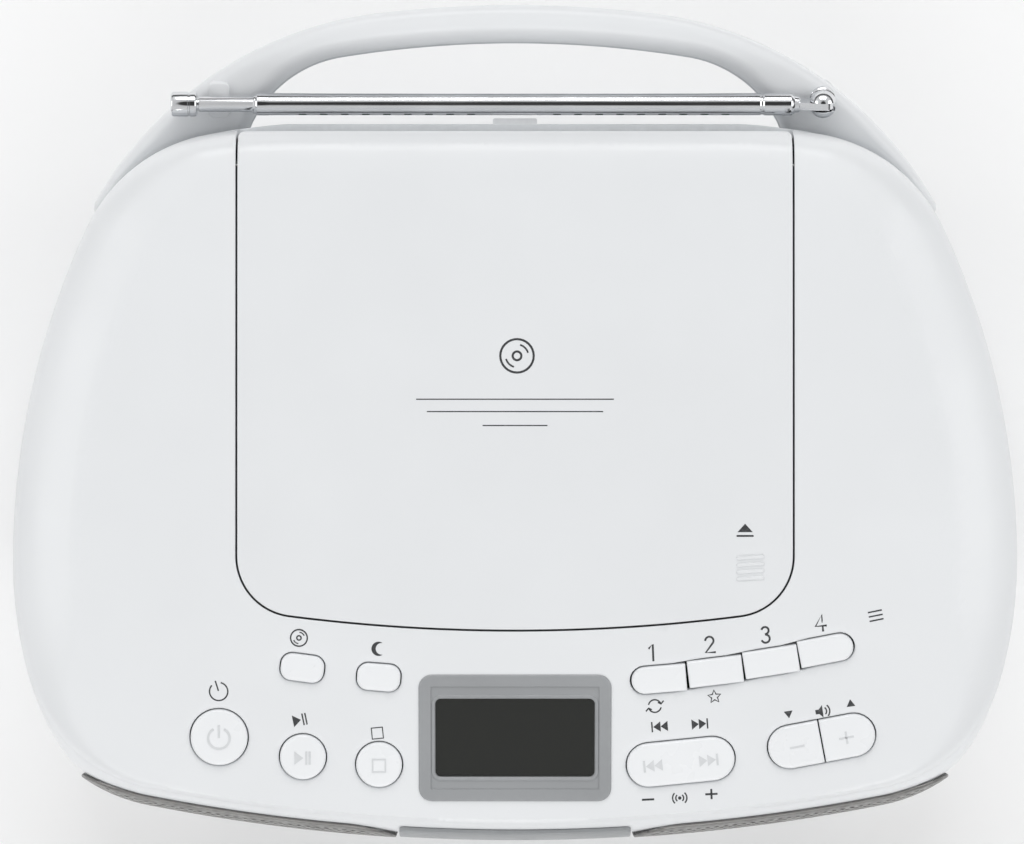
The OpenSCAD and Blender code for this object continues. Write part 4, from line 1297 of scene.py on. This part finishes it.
def solid_strokes(name, parts, place, low, high, matrix):
    """Thin solids over the strokes; place turns their points and a height into a position in the frame."""
    surface = Surface()
    for a, b, closed in parts:
        rows = surface.rows([place(a, low), place(b, low), place(b, high), place(a, high)], closed)
        surface.bridge(rows[-1], rows[0], closed)
        if not closed:
            surface.cap([row[0] for row in rows])
            surface.cap([row[-1] for row in rows])
    return surface.build(name, matrix, sharp=30)


EMBOSS_W = 0.55
KEY_ICONS = {
    "power_button": [(power_icon(2.7, 0.6), (0, 0))],
    "play_button": [(play_icon(1.7, EMBOSS_W), (0, 0))],
    "stop_button": [(stop_icon(1.6, EMBOSS_W), (0, 0))],
    "skip_rocker": [(skip_icon(-1, 1.5, EMBOSS_W), (-6.6, 0)), (skip_icon(1, 1.5, EMBOSS_W), (6.6, 0))],
    "volume_down_key": [(minus_icon(1.6, EMBOSS_W), (0.6, 0))],
    "volume_up_key": [(plus_icon(1.6, EMBOSS_W), (-0.6, 0))],
}


def make_key_icon(name):
    """The raised sign on a key's face."""
    at, _, turn = KEYS[name]
    parts = [stroke_part for parts, offset in KEY_ICONS[name] for stroke_part in placed_icon(parts, offset)]
    parts = placed_icon(parts, at, turn)
    top = KEY_RISE + KEY_CROWN[name] * 0.8
    return solid_strokes(f"{name}_sign", parts, at_height, KEY_RISE - 0.2, top + 0.02, PANEL_FRAME)


PRINT_W = 0.36


def key_place(name, dx=0.0, dy=0.0):
    """A place in the rim frame's plan, set off from a key's middle."""
    u, v = KEYS[name][0]
    return (u + dx, PANEL_Y + v * math.cos(PANEL_ANGLE) + dy)


def printed_marks():
    """Every sign printed on the top cabinet, as its parts, its place in the rim frame's plan and its turn."""
    marks = [(power_icon(2.3, PRINT_W), key_place("power_button", 0, 11.6), 0.3),
             (play_icon(1.5, PRINT_W), key_place("play_button", -0.6, 9.4), 0.2),
             (stop_icon(1.4, PRINT_W), key_place("stop_button", -0.4, 8.0), 0.1),
             (disc_icon(2.1, PRINT_W), key_place("function_button", -0.8, 7.6), 0.15),
             (moon_icon(1.8, PRINT_W), key_place("sleep_button", 0, 7.2), 0)]
    for i in range(4):
        name = f"preset_key_{i + 1}"
        marks.append((numeral(i + 1, 2.0, 0.5), key_place(name, -1.5, 6.8), KEYS[name][2] * 0.5))
    marks += [(list_icon(1.6, PRINT_W), key_place("preset_key_4", 12.4, 8.6), 0.2),
              (loop_icon(1.6, PRINT_W), key_place("preset_key_1", -1.0, -6.8), 0.05),
              (star_icon(1.7, PRINT_W), key_place("preset_key_2", -0.2, -6.4), 0.1)]
    marks += [([pointed(0.9, -0.9, 1.1)], key_place("volume_down_key", -1.6, 8.0), 0.15),
              (speaker_icon(1.6, PRINT_W), key_place("volume_down_key", 6.6, 8.8), 0.15),
              ([pointed(-0.9, 0.9, 1.1)], key_place("volume_up_key", 0.4, 8.4), 0.15)]
    marks += [(skip_icon(-1, 1.3, PRINT_W), key_place("skip_rocker", -5.0, 9.0), 0.08),
              (skip_icon(1, 1.3, PRINT_W), key_place("skip_rocker", 4.4, 9.6), 0.08),
              (minus_icon(1.3, 0.5), key_place("skip_rocker", -8.2, -9.6), 0.05),
              (wave_icon(1.8, PRINT_W), key_place("skip_rocker", -0.2, -9.2), 0.05),
              (plus_icon(1.3, 0.5), key_place("skip_rocker", 7.8, -8.2), 0.05)]
    return marks


def make_marks(name, marks, at_level):
    """Thin raised print that follows the surface under it."""
    parts = [p for icon, at, turn in marks for p in placed_icon(icon, at, turn)]

    def place(xy, height):
        z = at_level(np.array(xy))
        return [(x, y, level + height) for (x, y), level in zip(xy, z)]

    return solid_strokes(name, parts, place, -0.15, 0.035, RIM_FRAME)


LID_RULES = ((5.6, 24.7), (2.5, 22.0), (-1.0, 8.0))  # each line's place and half its length
LID_DISC_AT = (0.5, 16.5)
LID_OPEN_AT = (57.8, -27.6)
GRIP_BAR = (7.0, 0.9)
GRIP_AT = (59.1, -39.4)
GRIP_PITCH = 1.75
GRIP_TURN = 0.06


def lid_marks():
    """Three plain lines and a disc in the lid's middle, and the sign for opening it."""
    rules = [([stroke([(-half, 0), (half, 0)], 0.28)], (0, y), 0) for y, half in LID_RULES]
    return rules + [(disc_icon(4.2, 0.55), LID_DISC_AT, 0), (open_icon(1.9, 0.45), LID_OPEN_AT, 0)]


def make_lid_dots():
    """The small grip of raised bars over the lid's opening catch."""
    surface = Surface()
    for i in range(4):
        y = GRIP_AT[1] + i * GRIP_PITCH
        loops = []
        for inset, rise in ((0, -0.2), (0, 0.15), (0.12, 0.3), (0.3, 0.36)):
            xy = turned(rounded(*GRIP_BAR, (0.44,) * 4, inset), GRIP_TURN, (GRIP_AT[0], y))
            loops.append([(px, py, level + rise) for (px, py), level in zip(xy, top_z(np.array(xy)))])
        surface.solid(loops)
    return surface.build("lid_grip", RIM_FRAME)


# ---- Display ----------------------------------------------------------------------------------------
LCD_FRAME_CORNER = 3.4
LCD_GLASS_CORNER = 1.4
# Insets and heights over the frame's face, and from the lip down into the window.
LCD_FACE = [(0.0, -4.0), (0.0, 0.15), (0.25, 0.4), (0.8, 0.45), (3.0, 0.3), (3.2, 0.0)]
LCD_LIP = [(-1.0, 0.0), (-0.8, 0.2), (-0.3, 0.2), (0.0, -0.1), (0.0, -4.0)]


def make_lcd_frame():
    """A frame that slopes down to the window, with a fine raised lip round it."""
    surface = Surface()
    loops = []
    borders = ((LCD_FRAME, LCD_FRAME_CORNER, LCD_FACE), (LCD_GLASS, LCD_GLASS_CORNER, LCD_LIP))
    for size, corner, profile in borders:
        for inset, z in profile:
            loops.append(at_height(turned(rounded(*size, (corner,) * 4, inset), 0, LCD_AT), z))
    rows = surface.rows(loops)
    surface.bridge(rows[-1], rows[0])
    return surface.build("lcd_frame", PANEL_FRAME, sharp=25)


# ---- Lid fittings -----------------------------------------------------------------------------------
HINGE_Y = 71.5
HINGE_Z = 1.2
EAR_X = 67.5
EAR = [(0, -1.5), (1.8, -1.5), (2.0, -1.3), (2.0, 1.3), (1.8, 1.5), (0, 1.5)]
BARREL = [(0, 0), (1.6, 0), (1.8, 0.2), (1.8, 7.2), (1.6, 7.4), (0, 7.4)]
BARREL_X = (58, -65.4)
STRIKER = (8, 1.5)
STRIKER_AT = (58, -37.25)
STRIKER_Z = (-3, 11.0)
CLAMP = [(14.5, 11.9), (14.5, 9.6), (13.9, 9.2), (11.6, 9.2), (11.0, 9.6), (11.0, 11.9)]


def along_x(x, y, z):
    """A frame whose +Z runs along X from a place in the rim frame."""
    return RIM_FRAME @ Matrix.Translation((x, y, z)) @ Matrix.Rotation(math.radians(90), 4, "Y")


def make_hinge_ears():
    """The two ears on the rear wall that carry the lid's hinge pins."""
    parts = []
    for side in (-1, 1):
        middle = side * EAR_X
        parts.append(lathe("eye", EAR, along_x(middle, HINGE_Y, HINGE_Z)))
        post = RIM_FRAME @ Matrix.Translation((middle, HINGE_Y, 0))
        parts.append(prism("post", rounded(3, 4, (0.3,) * 4), -9, HINGE_Z, post))
    return joined("hinge_ears", parts)


def make_lid_fittings():
    """The hinge barrels, the striker that the catch holds, and the ring that presses on a disc."""
    parts = [lathe("barrel", BARREL, along_x(x, HINGE_Y, HINGE_Z)) for x in BARREL_X]
    striker = RIM_FRAME @ Matrix.Translation((*STRIKER_AT, 0))
    parts.append(prism("striker", rounded(*STRIKER, (0.3,) * 4), *STRIKER_Z, striker))
    clamp = Surface()
    rows = clamp.rows([at_height(circle(r, 56), z) for r, z in CLAMP])
    clamp.bridge(rows[-1], rows[0])
    parts.append(clamp.build("clamp", RIM_FRAME))
    return joined("lid_fittings", parts)


# ---- Materials --------------------------------------------------------------------------------------


class Look:
    """A procedural material: a Principled shader with helpers for its variation, wear and bump."""

    def __init__(self, name, color, roughness, metallic=0.0):
        self.material = bpy.data.materials.new(name)
        self.material.use_nodes = True
        self.tree = self.material.node_tree
        self.shader = self.tree.nodes["Principled BSDF"]
        self.shader.inputs["Base Color"].default_value = (*color, 1)
        self.shader.inputs["Roughness"].default_value = roughness
        self.shader.inputs["Metallic"].default_value = metallic
        self.color = color
        self.roughness = roughness
        self.place = self.tree.nodes.new("ShaderNodeTexCoord").outputs["Object"]
        self.color_out = None
        self.bump_out = None

    def set(self, **values):
        for name, value in values.items():
            self.shader.inputs[name.replace("_", " ")].default_value = value
        return self

    def stretched(self, scale):
        mapping = self.tree.nodes.new("ShaderNodeMapping")
        mapping.inputs["Scale"].default_value = scale
        self.tree.links.new(self.place, mapping.inputs["Vector"])
        return mapping.outputs["Vector"]

    def noise(self, scale, detail=3.0, stretch=None):
        node = self.tree.nodes.new("ShaderNodeTexNoise")
        node.inputs["Scale"].default_value = scale
        node.inputs["Detail"].default_value = detail
        self.tree.links.new(self.stretched(stretch) if stretch else self.place, node.inputs["Vector"])
        return node.outputs["Fac"]

    def ramp(self, value, low, high, start=0.0, end=1.0):
        """Maps value from low..high to start..end."""
        node = self.tree.nodes.new("ShaderNodeMapRange")
        node.inputs["From Min"].default_value = low
        node.inputs["From Max"].default_value = high
        node.inputs["To Min"].default_value = start
        node.inputs["To Max"].default_value = end
        self.tree.links.new(value, node.inputs["Value"])
        return node.outputs["Result"]

    def blend_color(self, share, other):
        """Turns the colour towards other by share."""
        node = self.tree.nodes.new("ShaderNodeMix")
        node.data_type = "RGBA"
        if self.color_out:
            self.tree.links.new(self.color_out, node.inputs["A"])
        else:
            node.inputs["A"].default_value = (*self.color, 1)
        node.inputs["B"].default_value = (*other, 1)
        self.tree.links.new(share, node.inputs["Factor"])
        self.color_out = node.outputs["Result"]
        self.tree.links.new(self.color_out, self.shader.inputs["Base Color"])
        return self

    def mottled(self, scale, amount):
        """Slow change of tone across the surface."""
        other = tuple(c * (1 - amount) for c in self.color)
        return self.blend_color(self.ramp(self.noise(scale), 0.35, 0.65), other)

    def edge_wear_and_shade(self, other, low=0.52, high=0.6, strength=0.5):
        """Another tone along convex edges, broken up by noise: rubbed wear on the plastics, and painted shade
        for the grille's holes.
        """
        point = self.tree.nodes.new("ShaderNodeNewGeometry").outputs["Pointiness"]
        edge = self.ramp(point, low, high, 0, strength)
        product = self.tree.nodes.new("ShaderNodeMath")
        product.operation = "MULTIPLY"
        self.tree.links.new(edge, product.inputs[0])
        self.tree.links.new(self.ramp(self.noise(600), 0.3, 0.7), product.inputs[1])
        return self.blend_color(product.outputs["Value"], other)

    def uneven(self, scale, spread, stretch=None):
        """Roughness that wanders either side of its value."""
        low, high = self.roughness - spread, self.roughness + spread
        value = self.ramp(self.noise(scale, 4, stretch), 0.3, 0.7, low, high)
        self.tree.links.new(value, self.shader.inputs["Roughness"])
        return self

    def bumped(self, height, strength, distance):
        node = self.tree.nodes.new("ShaderNodeBump")
        node.inputs["Strength"].default_value = strength
        node.inputs["Distance"].default_value = distance
        self.tree.links.new(height, node.inputs["Height"])
        if self.bump_out:
            self.tree.links.new(self.bump_out, node.inputs["Normal"])
        self.bump_out = node.outputs["Normal"]
        self.tree.links.new(self.bump_out, self.shader.inputs["Normal"])
        return self

    def grained(self, scale, distance, strength=0.35, stretch=None):
        return self.bumped(self.noise(scale, 4, stretch), strength, distance)


def white_plastic(name, color, roughness=0.36):
    """Painted white plastic with a fine grain, faint yellowing and edges rubbed to a duller white."""
    look = Look(name, color, roughness)
    look.mottled(22, 0.02).edge_wear_and_shade(tuple(c * 0.86 for c in color))
    look.uneven(60, 0.05).grained(2600, 0.00004, 0.25)
    return look.set(Coat_Weight=0.12, Coat_Roughness=0.25).material


def moulded_plastic(name, color, roughness=0.5, grain=1800):
    """Bare moulded plastic with a spark-eroded grain."""
    look = Look(name, color, roughness)
    look.mottled(35, 0.07).edge_wear_and_shade(tuple(min(1, c * 1.25 + 0.02) for c in color))
    return look.uneven(90, 0.08).grained(grain, 0.00006, 0.4).material


def metal(name, color, roughness, stretch, scratch=900.0):
    """Drawn or brushed metal, with its scratches along one way and dull patches."""
    look = Look(name, color, roughness, 1.0)
    look.mottled(55, 0.1).uneven(220, roughness * 0.45, stretch)
    return look.grained(scratch, 0.00002, 0.2, stretch).material


def rubber(name, color):
    look = Look(name, color, 0.75)
    look.mottled(120, 0.25).uneven(300, 0.1)
    return look.grained(1400, 0.0001, 0.6).material


def paper_cone(name, color):
    """Pressed paper pulp with loose fibres."""
    look = Look(name, color, 0.85)
    look.mottled(260, 0.35)
    return look.grained(700, 0.00015, 0.7, (1, 1, 2.5)).material


def board(name, color):
    """Solder resist over a copper pattern."""
    look = Look(name, color, 0.35)
    tracks = look.tree.nodes.new("ShaderNodeTexBrick")
    tracks.inputs["Scale"].default_value = 160
    tracks.inputs["Mortar Size"].default_value = 0.018
    look.tree.links.new(look.place, tracks.inputs["Vector"])
    look.blend_color(tracks.outputs["Fac"], tuple(c * 1.8 + 0.03 for c in color))
    look.mottled(50, 0.2).uneven(150, 0.08)
    return look.bumped(tracks.outputs["Fac"], 0.3, 0.00004).material


def window_glass(name):
    look = Look(name, (0.12, 0.135, 0.11), 0.04)
    look.uneven(140, 0.02).grained(60, 0.00002, 0.05)
    return look.set(Transmission_Weight=0.95, IOR=1.49).material


def reflector(name):
    """The olive back of a reflective display, with a fine matte tooth."""
    look = Look(name, (0.03, 0.035, 0.022), 0.4)
    return look.mottled(80, 0.15).uneven(200, 0.05).grained(3000, 0.00003, 0.3).material


def printed(name, color):
    """Screen-printed ink, slightly thin in places."""
    look = Look(name, color, 0.55)
    look.blend_color(look.ramp(look.noise(900), 0.55, 0.8, 0, 0.3), (0.3, 0.31, 0.32))
    return look.grained(2500, 0.00002, 0.3).material


def perforated(name):
    """Painted sheet metal with painted shade: its hole rims get a lighter tone, which leaves it darker down in
    its holes.
    """
    look = Look(name, (0.2, 0.195, 0.19), 0.38, 0.6)
    # The lighter tone that this puts on the hole rims is painted light, so that the holes read as shaded.
    look.mottled(30, 0.12).edge_wear_and_shade((0.5, 0.5, 0.49), strength=0.7)
    return look.uneven(180, 0.08).grained(2200, 0.00004, 0.35).material


def lens_glass(name):
    look = Look(name, (0.25, 0.3, 0.45), 0.05)
    look.mottled(400, 0.3).grained(900, 0.00001, 0.1)
    return look.set(Coat_Weight=0.8, Coat_Roughness=0.03).material


def iron(name):
    look = Look(name, (0.09, 0.085, 0.085), 0.6, 0.4)
    return look.mottled(140, 0.3).uneven(260, 0.12).grained(1200, 0.0001, 0.5).material


LOOKS = {
    "white_shell": white_plastic("white_shell", (0.77, 0.785, 0.80)),
    "lid_white": white_plastic("lid_white", (0.76, 0.775, 0.79)),
    "grey_shell": moulded_plastic("grey_shell", (0.62, 0.64, 0.66)),
    "key_white": white_plastic("key_white", (0.83, 0.845, 0.86), 0.3),
    "sign_white": white_plastic("sign_white", (0.68, 0.695, 0.71), 0.3),
    "grille_metal": perforated("grille_metal"),
    "grey_trim": moulded_plastic("grey_trim", (0.31, 0.32, 0.33), 0.4),
    "well_grey": moulded_plastic("well_grey", (0.42, 0.43, 0.45), 0.55),
    "lcd_glass": window_glass("lcd_glass"),
    "lcd_frame": reflector("lcd_frame"),
    "pcb": board("pcb", (0.03, 0.13, 0.06)),
    "steel": metal("steel", (0.6, 0.61, 0.63), 0.32, (1, 1, 12)),
    "motor_can": metal("motor_can", (0.52, 0.53, 0.55), 0.38, (1, 1, 8)),
    "chrome": metal("chrome", (0.78, 0.79, 0.81), 0.12, (0.2, 6, 6), 1500.0),
    "rubber": rubber("rubber", (0.035, 0.035, 0.037)),
    "black_plastic": moulded_plastic("black_plastic", (0.022, 0.022, 0.025), 0.45),
    "nylon": moulded_plastic("nylon", (0.72, 0.7, 0.62), 0.42, 1200),
    "lens_glass": lens_glass("lens_glass"),
    "paper_cone": paper_cone("paper_cone", (0.05, 0.05, 0.052)),
    "iron_core": iron("iron_core"),
    "ink": printed("ink", (0.035, 0.037, 0.04)),
}


# ---- Assembly ---------------------------------------------------------------------------------------


def install(piece, body, look, slot, *replaced):
    """Gives a piece its material and body, and says which CAD nodes it stands for."""
    piece.data.materials.clear()
    piece.data.materials.append(LOOKS[look])
    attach(piece, body)
    if replaced:
        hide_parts(*replaced)
    return piece


install(make_top_cabinet(), SHELL, "white_shell", "white_shell", "top_cabinet")
install(make_lid(), "lid", "lid_white", "white_shell", "lid")
install(make_lid_fittings(), "lid", "grey_shell", "white_shell")
install(make_front_cabinet(), SHELL, "white_shell", "white_shell", "front_cabinet")
install(make_rear_cabinet(), SHELL, "grey_shell", "grey_shell", "rear_cabinet")
install(make_hinge_ears(), SHELL, "grey_shell", "grey_shell")
install(make_grille(-1), SHELL, "grille_metal", "grille_metal", "grille_left")
install(make_grille(1), SHELL, "grille_metal", "grille_metal", "grille_right")
install(make_badge_strip(), SHELL, "grey_trim", "grey_trim", "front_badge")

handle_upper = make_handle_half("handle_upper_shell", FACE_Z, SPLIT_Z + HANDLE_SPLIT, HANDLE_EDGE_R, 1.0)
install(handle_upper, SHELL, "white_shell", "white_shell", "handle_upper")
handle_lower = make_handle_half("handle_lower_shell", HANDLE_LOW_Z, SPLIT_Z - HANDLE_SPLIT, HANDLE_EDGE_R, 0.6)
install(handle_lower, SHELL, "grey_shell", "grey_shell", "handle_lower")
install(make_antenna_rest(), SHELL, "white_shell", "white_shell")
install(make_rear_tab(), SHELL, "white_shell", "grey_shell")

install(make_swivel(), "antenna_swivel", "chrome", "chrome", "antenna_swivel")
install(make_tube_1(), "antenna_tube_1", "chrome", "chrome", "antenna_tube_1")
install(make_sliding_tube("antenna_middle", 1, 0.6), "antenna_tube_2", "chrome", "chrome", "antenna_tube_2")
install(make_sliding_tube("antenna_inner", 2, 14.5), "antenna_tube_3", "chrome", "chrome", "antenna_tube_3")
install(make_tip(), "antenna_tip", "chrome", "chrome", "antenna_tip")

for key in KEYS:
    install(make_key(key), key, "key_white", "key_white", key)
for key in KEY_ICONS:
    install(make_key_icon(key), key, "sign_white", "key_white")

install(make_marks("printed_signs", printed_marks(), top_z), SHELL, "ink", "grey_trim")
install(make_marks("lid_signs", lid_marks(), top_z), "lid", "ink", "grey_trim")
install(make_lid_dots(), "lid", "lid_white", "white_shell")
install(make_lcd_frame(), SHELL, "grey_trim", "grey_trim", "lcd_bezel")

CAD_LOOKS = {
    "grey_shell": ["base_cabinet", "battery_cover", "latch_housing"],
    "well_grey": ["disc_well"],
    "black_plastic": ["headphone_jack", "line_in_jack", "ac_inlet", "mechanism_chassis", "turntable",
                      "pickup_sled"],
    "nylon": ["sled_gear", "latch_slider"],
    "lcd_glass": ["lcd_window"],
    "lcd_frame": ["lcd_module"],
    "pcb": ["key_board", "main_board"],
    "steel": ["handle_screws", "cabinet_screws", "battery_springs", "guide_rods", "lid_hinge_pins"],
    "motor_can": ["spindle_motor", "sled_motor", "speaker_left", "speaker_right"],
    "rubber": ["rubber_feet", "mechanism_dampers"],
    "paper_cone": ["cone_left", "cone_right"],
    "lens_glass": ["pickup_lens"],
    "iron_core": ["ferrite_aerial", "transformer"],
}
UNBEVELLED = ("lcd_window", "lcd_module", "cone_left", "cone_right", "battery_springs")
BEVEL_WIDTH = 0.25 * MM
BEVEL_ANGLE = math.radians(40)


def finish_cad_node(name, look):
    """Gives a CAD node its material and softens its edges."""
    node = nodes[name]
    node.data.materials.clear()
    node.data.materials.append(LOOKS[look])
    if name in UNBEVELLED:
        return
    bevel = node.modifiers.new("edges", "BEVEL")
    bevel.width = BEVEL_WIDTH
    bevel.segments = 2
    bevel.limit_method = "ANGLE"
    bevel.angle_limit = BEVEL_ANGLE
    bevel.use_clamp_overlap = True


for look, names in CAD_LOOKS.items():
    for name in names:
        finish_cad_node(name, look)


# ---- Stage, light and camera ------------------------------------------------------------------------
STAGE_SIZE = 6.0
CAMERA_ELEVATION = math.radians(87)
CAMERA_DISTANCE = 1.55
PICTURE_WIDTH = 259.6 * MM  # seen at the rim
PICTURE_CENTRE = (-0.76, 0.0)
# Brightness of the dome by the sine of the elevation.
DOME = [(0.0, 0.05), (0.16, 0.12), (0.36, 0.95), (0.72, 0.95), (0.92, 0.85), (0.955, 0.06)]
DOME_STRENGTH = 0.8
LAMP_DISTANCE = 1.5
# Each softbox's direction from the object, its size in metres and its power.
LAMPS = {
    "left_light": ((-1.0, 0.1, 0.62), (1.0, 0.7), 4),
    "right_light": ((1.0, 0.1, 0.62), (1.0, 0.7), 4),
    "rear_light": ((0, 1.0, 0.8), (1.2, 0.6), 7),
    "front_light": ((0, -1.0, 0.5), (1.2, 0.5), 7),
}


def make_floor():
    """A wide seamless sheet under the object."""
    mesh = bpy.data.meshes.new("floor")
    half = STAGE_SIZE / 2
    z = cad_low[2]
    corners = [(-half, -half, z), (half, -half, z), (half, half, z), (-half, half, z)]
    mesh.from_pydata(corners, [], [(0, 1, 2, 3)])
    floor = linked("floor", mesh)
    look = Look("paper", (0.95, 0.95, 0.95), 0.9)
    look.mottled(3, 0.01).grained(900, 0.00005, 0.1)
    floor.data.materials.append(look.material)


def add_softbox(name, direction, size, power):
    """An area light that points at the middle of the object."""
    middle = (Vector(cad_low) + Vector(cad_high)) / 2
    light = bpy.data.lights.new(name, "AREA")
    light.shape = "RECTANGLE"
    light.size, light.size_y = size
    light.energy = power
    lamp = linked(name, light)
    away = Vector(direction).normalized()
    lamp.location = middle + away * LAMP_DISTANCE
    lamp.rotation_euler = away.to_track_quat("Z", "Y").to_euler()


def add_camera():
    """The camera that stands where the photograph was taken from, as far as that could be judged."""
    data = bpy.data.cameras.new("camera")
    data.sensor_width = 36
    data.lens = data.sensor_width * CAMERA_DISTANCE / PICTURE_WIDTH
    data.clip_end = 20
    camera = linked("camera", data)
    target = RIM_FRAME @ Vector((*PICTURE_CENTRE, 0)) * MM
    back = Vector((0, -math.cos(CAMERA_ELEVATION), math.sin(CAMERA_ELEVATION)))
    camera.location = target + back * CAMERA_DISTANCE
    camera.rotation_euler = back.to_track_quat("Z", "Y").to_euler()
    bpy.context.scene.camera = camera


def light_world():
    """A soft white dome, dark at the horizon and straight above, as a studio ceiling is behind its lights."""
    world = bpy.data.worlds.new("studio")
    world.use_nodes = True
    tree = world.node_tree
    split = tree.nodes.new("ShaderNodeSeparateXYZ")
    tree.links.new(tree.nodes.new("ShaderNodeTexCoord").outputs["Generated"], split.inputs["Vector"])
    ramp = tree.nodes.new("ShaderNodeValToRGB")
    elements = ramp.color_ramp.elements
    elements[0].position, elements[1].position = DOME[0][0], DOME[-1][0]
    for position, _ in DOME[1:-1]:
        elements.new(position)
    for element, (_, level) in zip(elements, DOME):
        element.color = (level, level, level, 1)
    tree.links.new(split.outputs["Z"], ramp.inputs["Fac"])
    background = tree.nodes["Background"]
    background.inputs["Strength"].default_value = DOME_STRENGTH
    tree.links.new(ramp.outputs["Color"], background.inputs["Color"])
    bpy.context.scene.world = world


make_floor()
light_world()
for lamp, settings in LAMPS.items():
    add_softbox(lamp, *settings)
add_camera()
bpy.context.scene.view_settings.view_transform = "Standard"
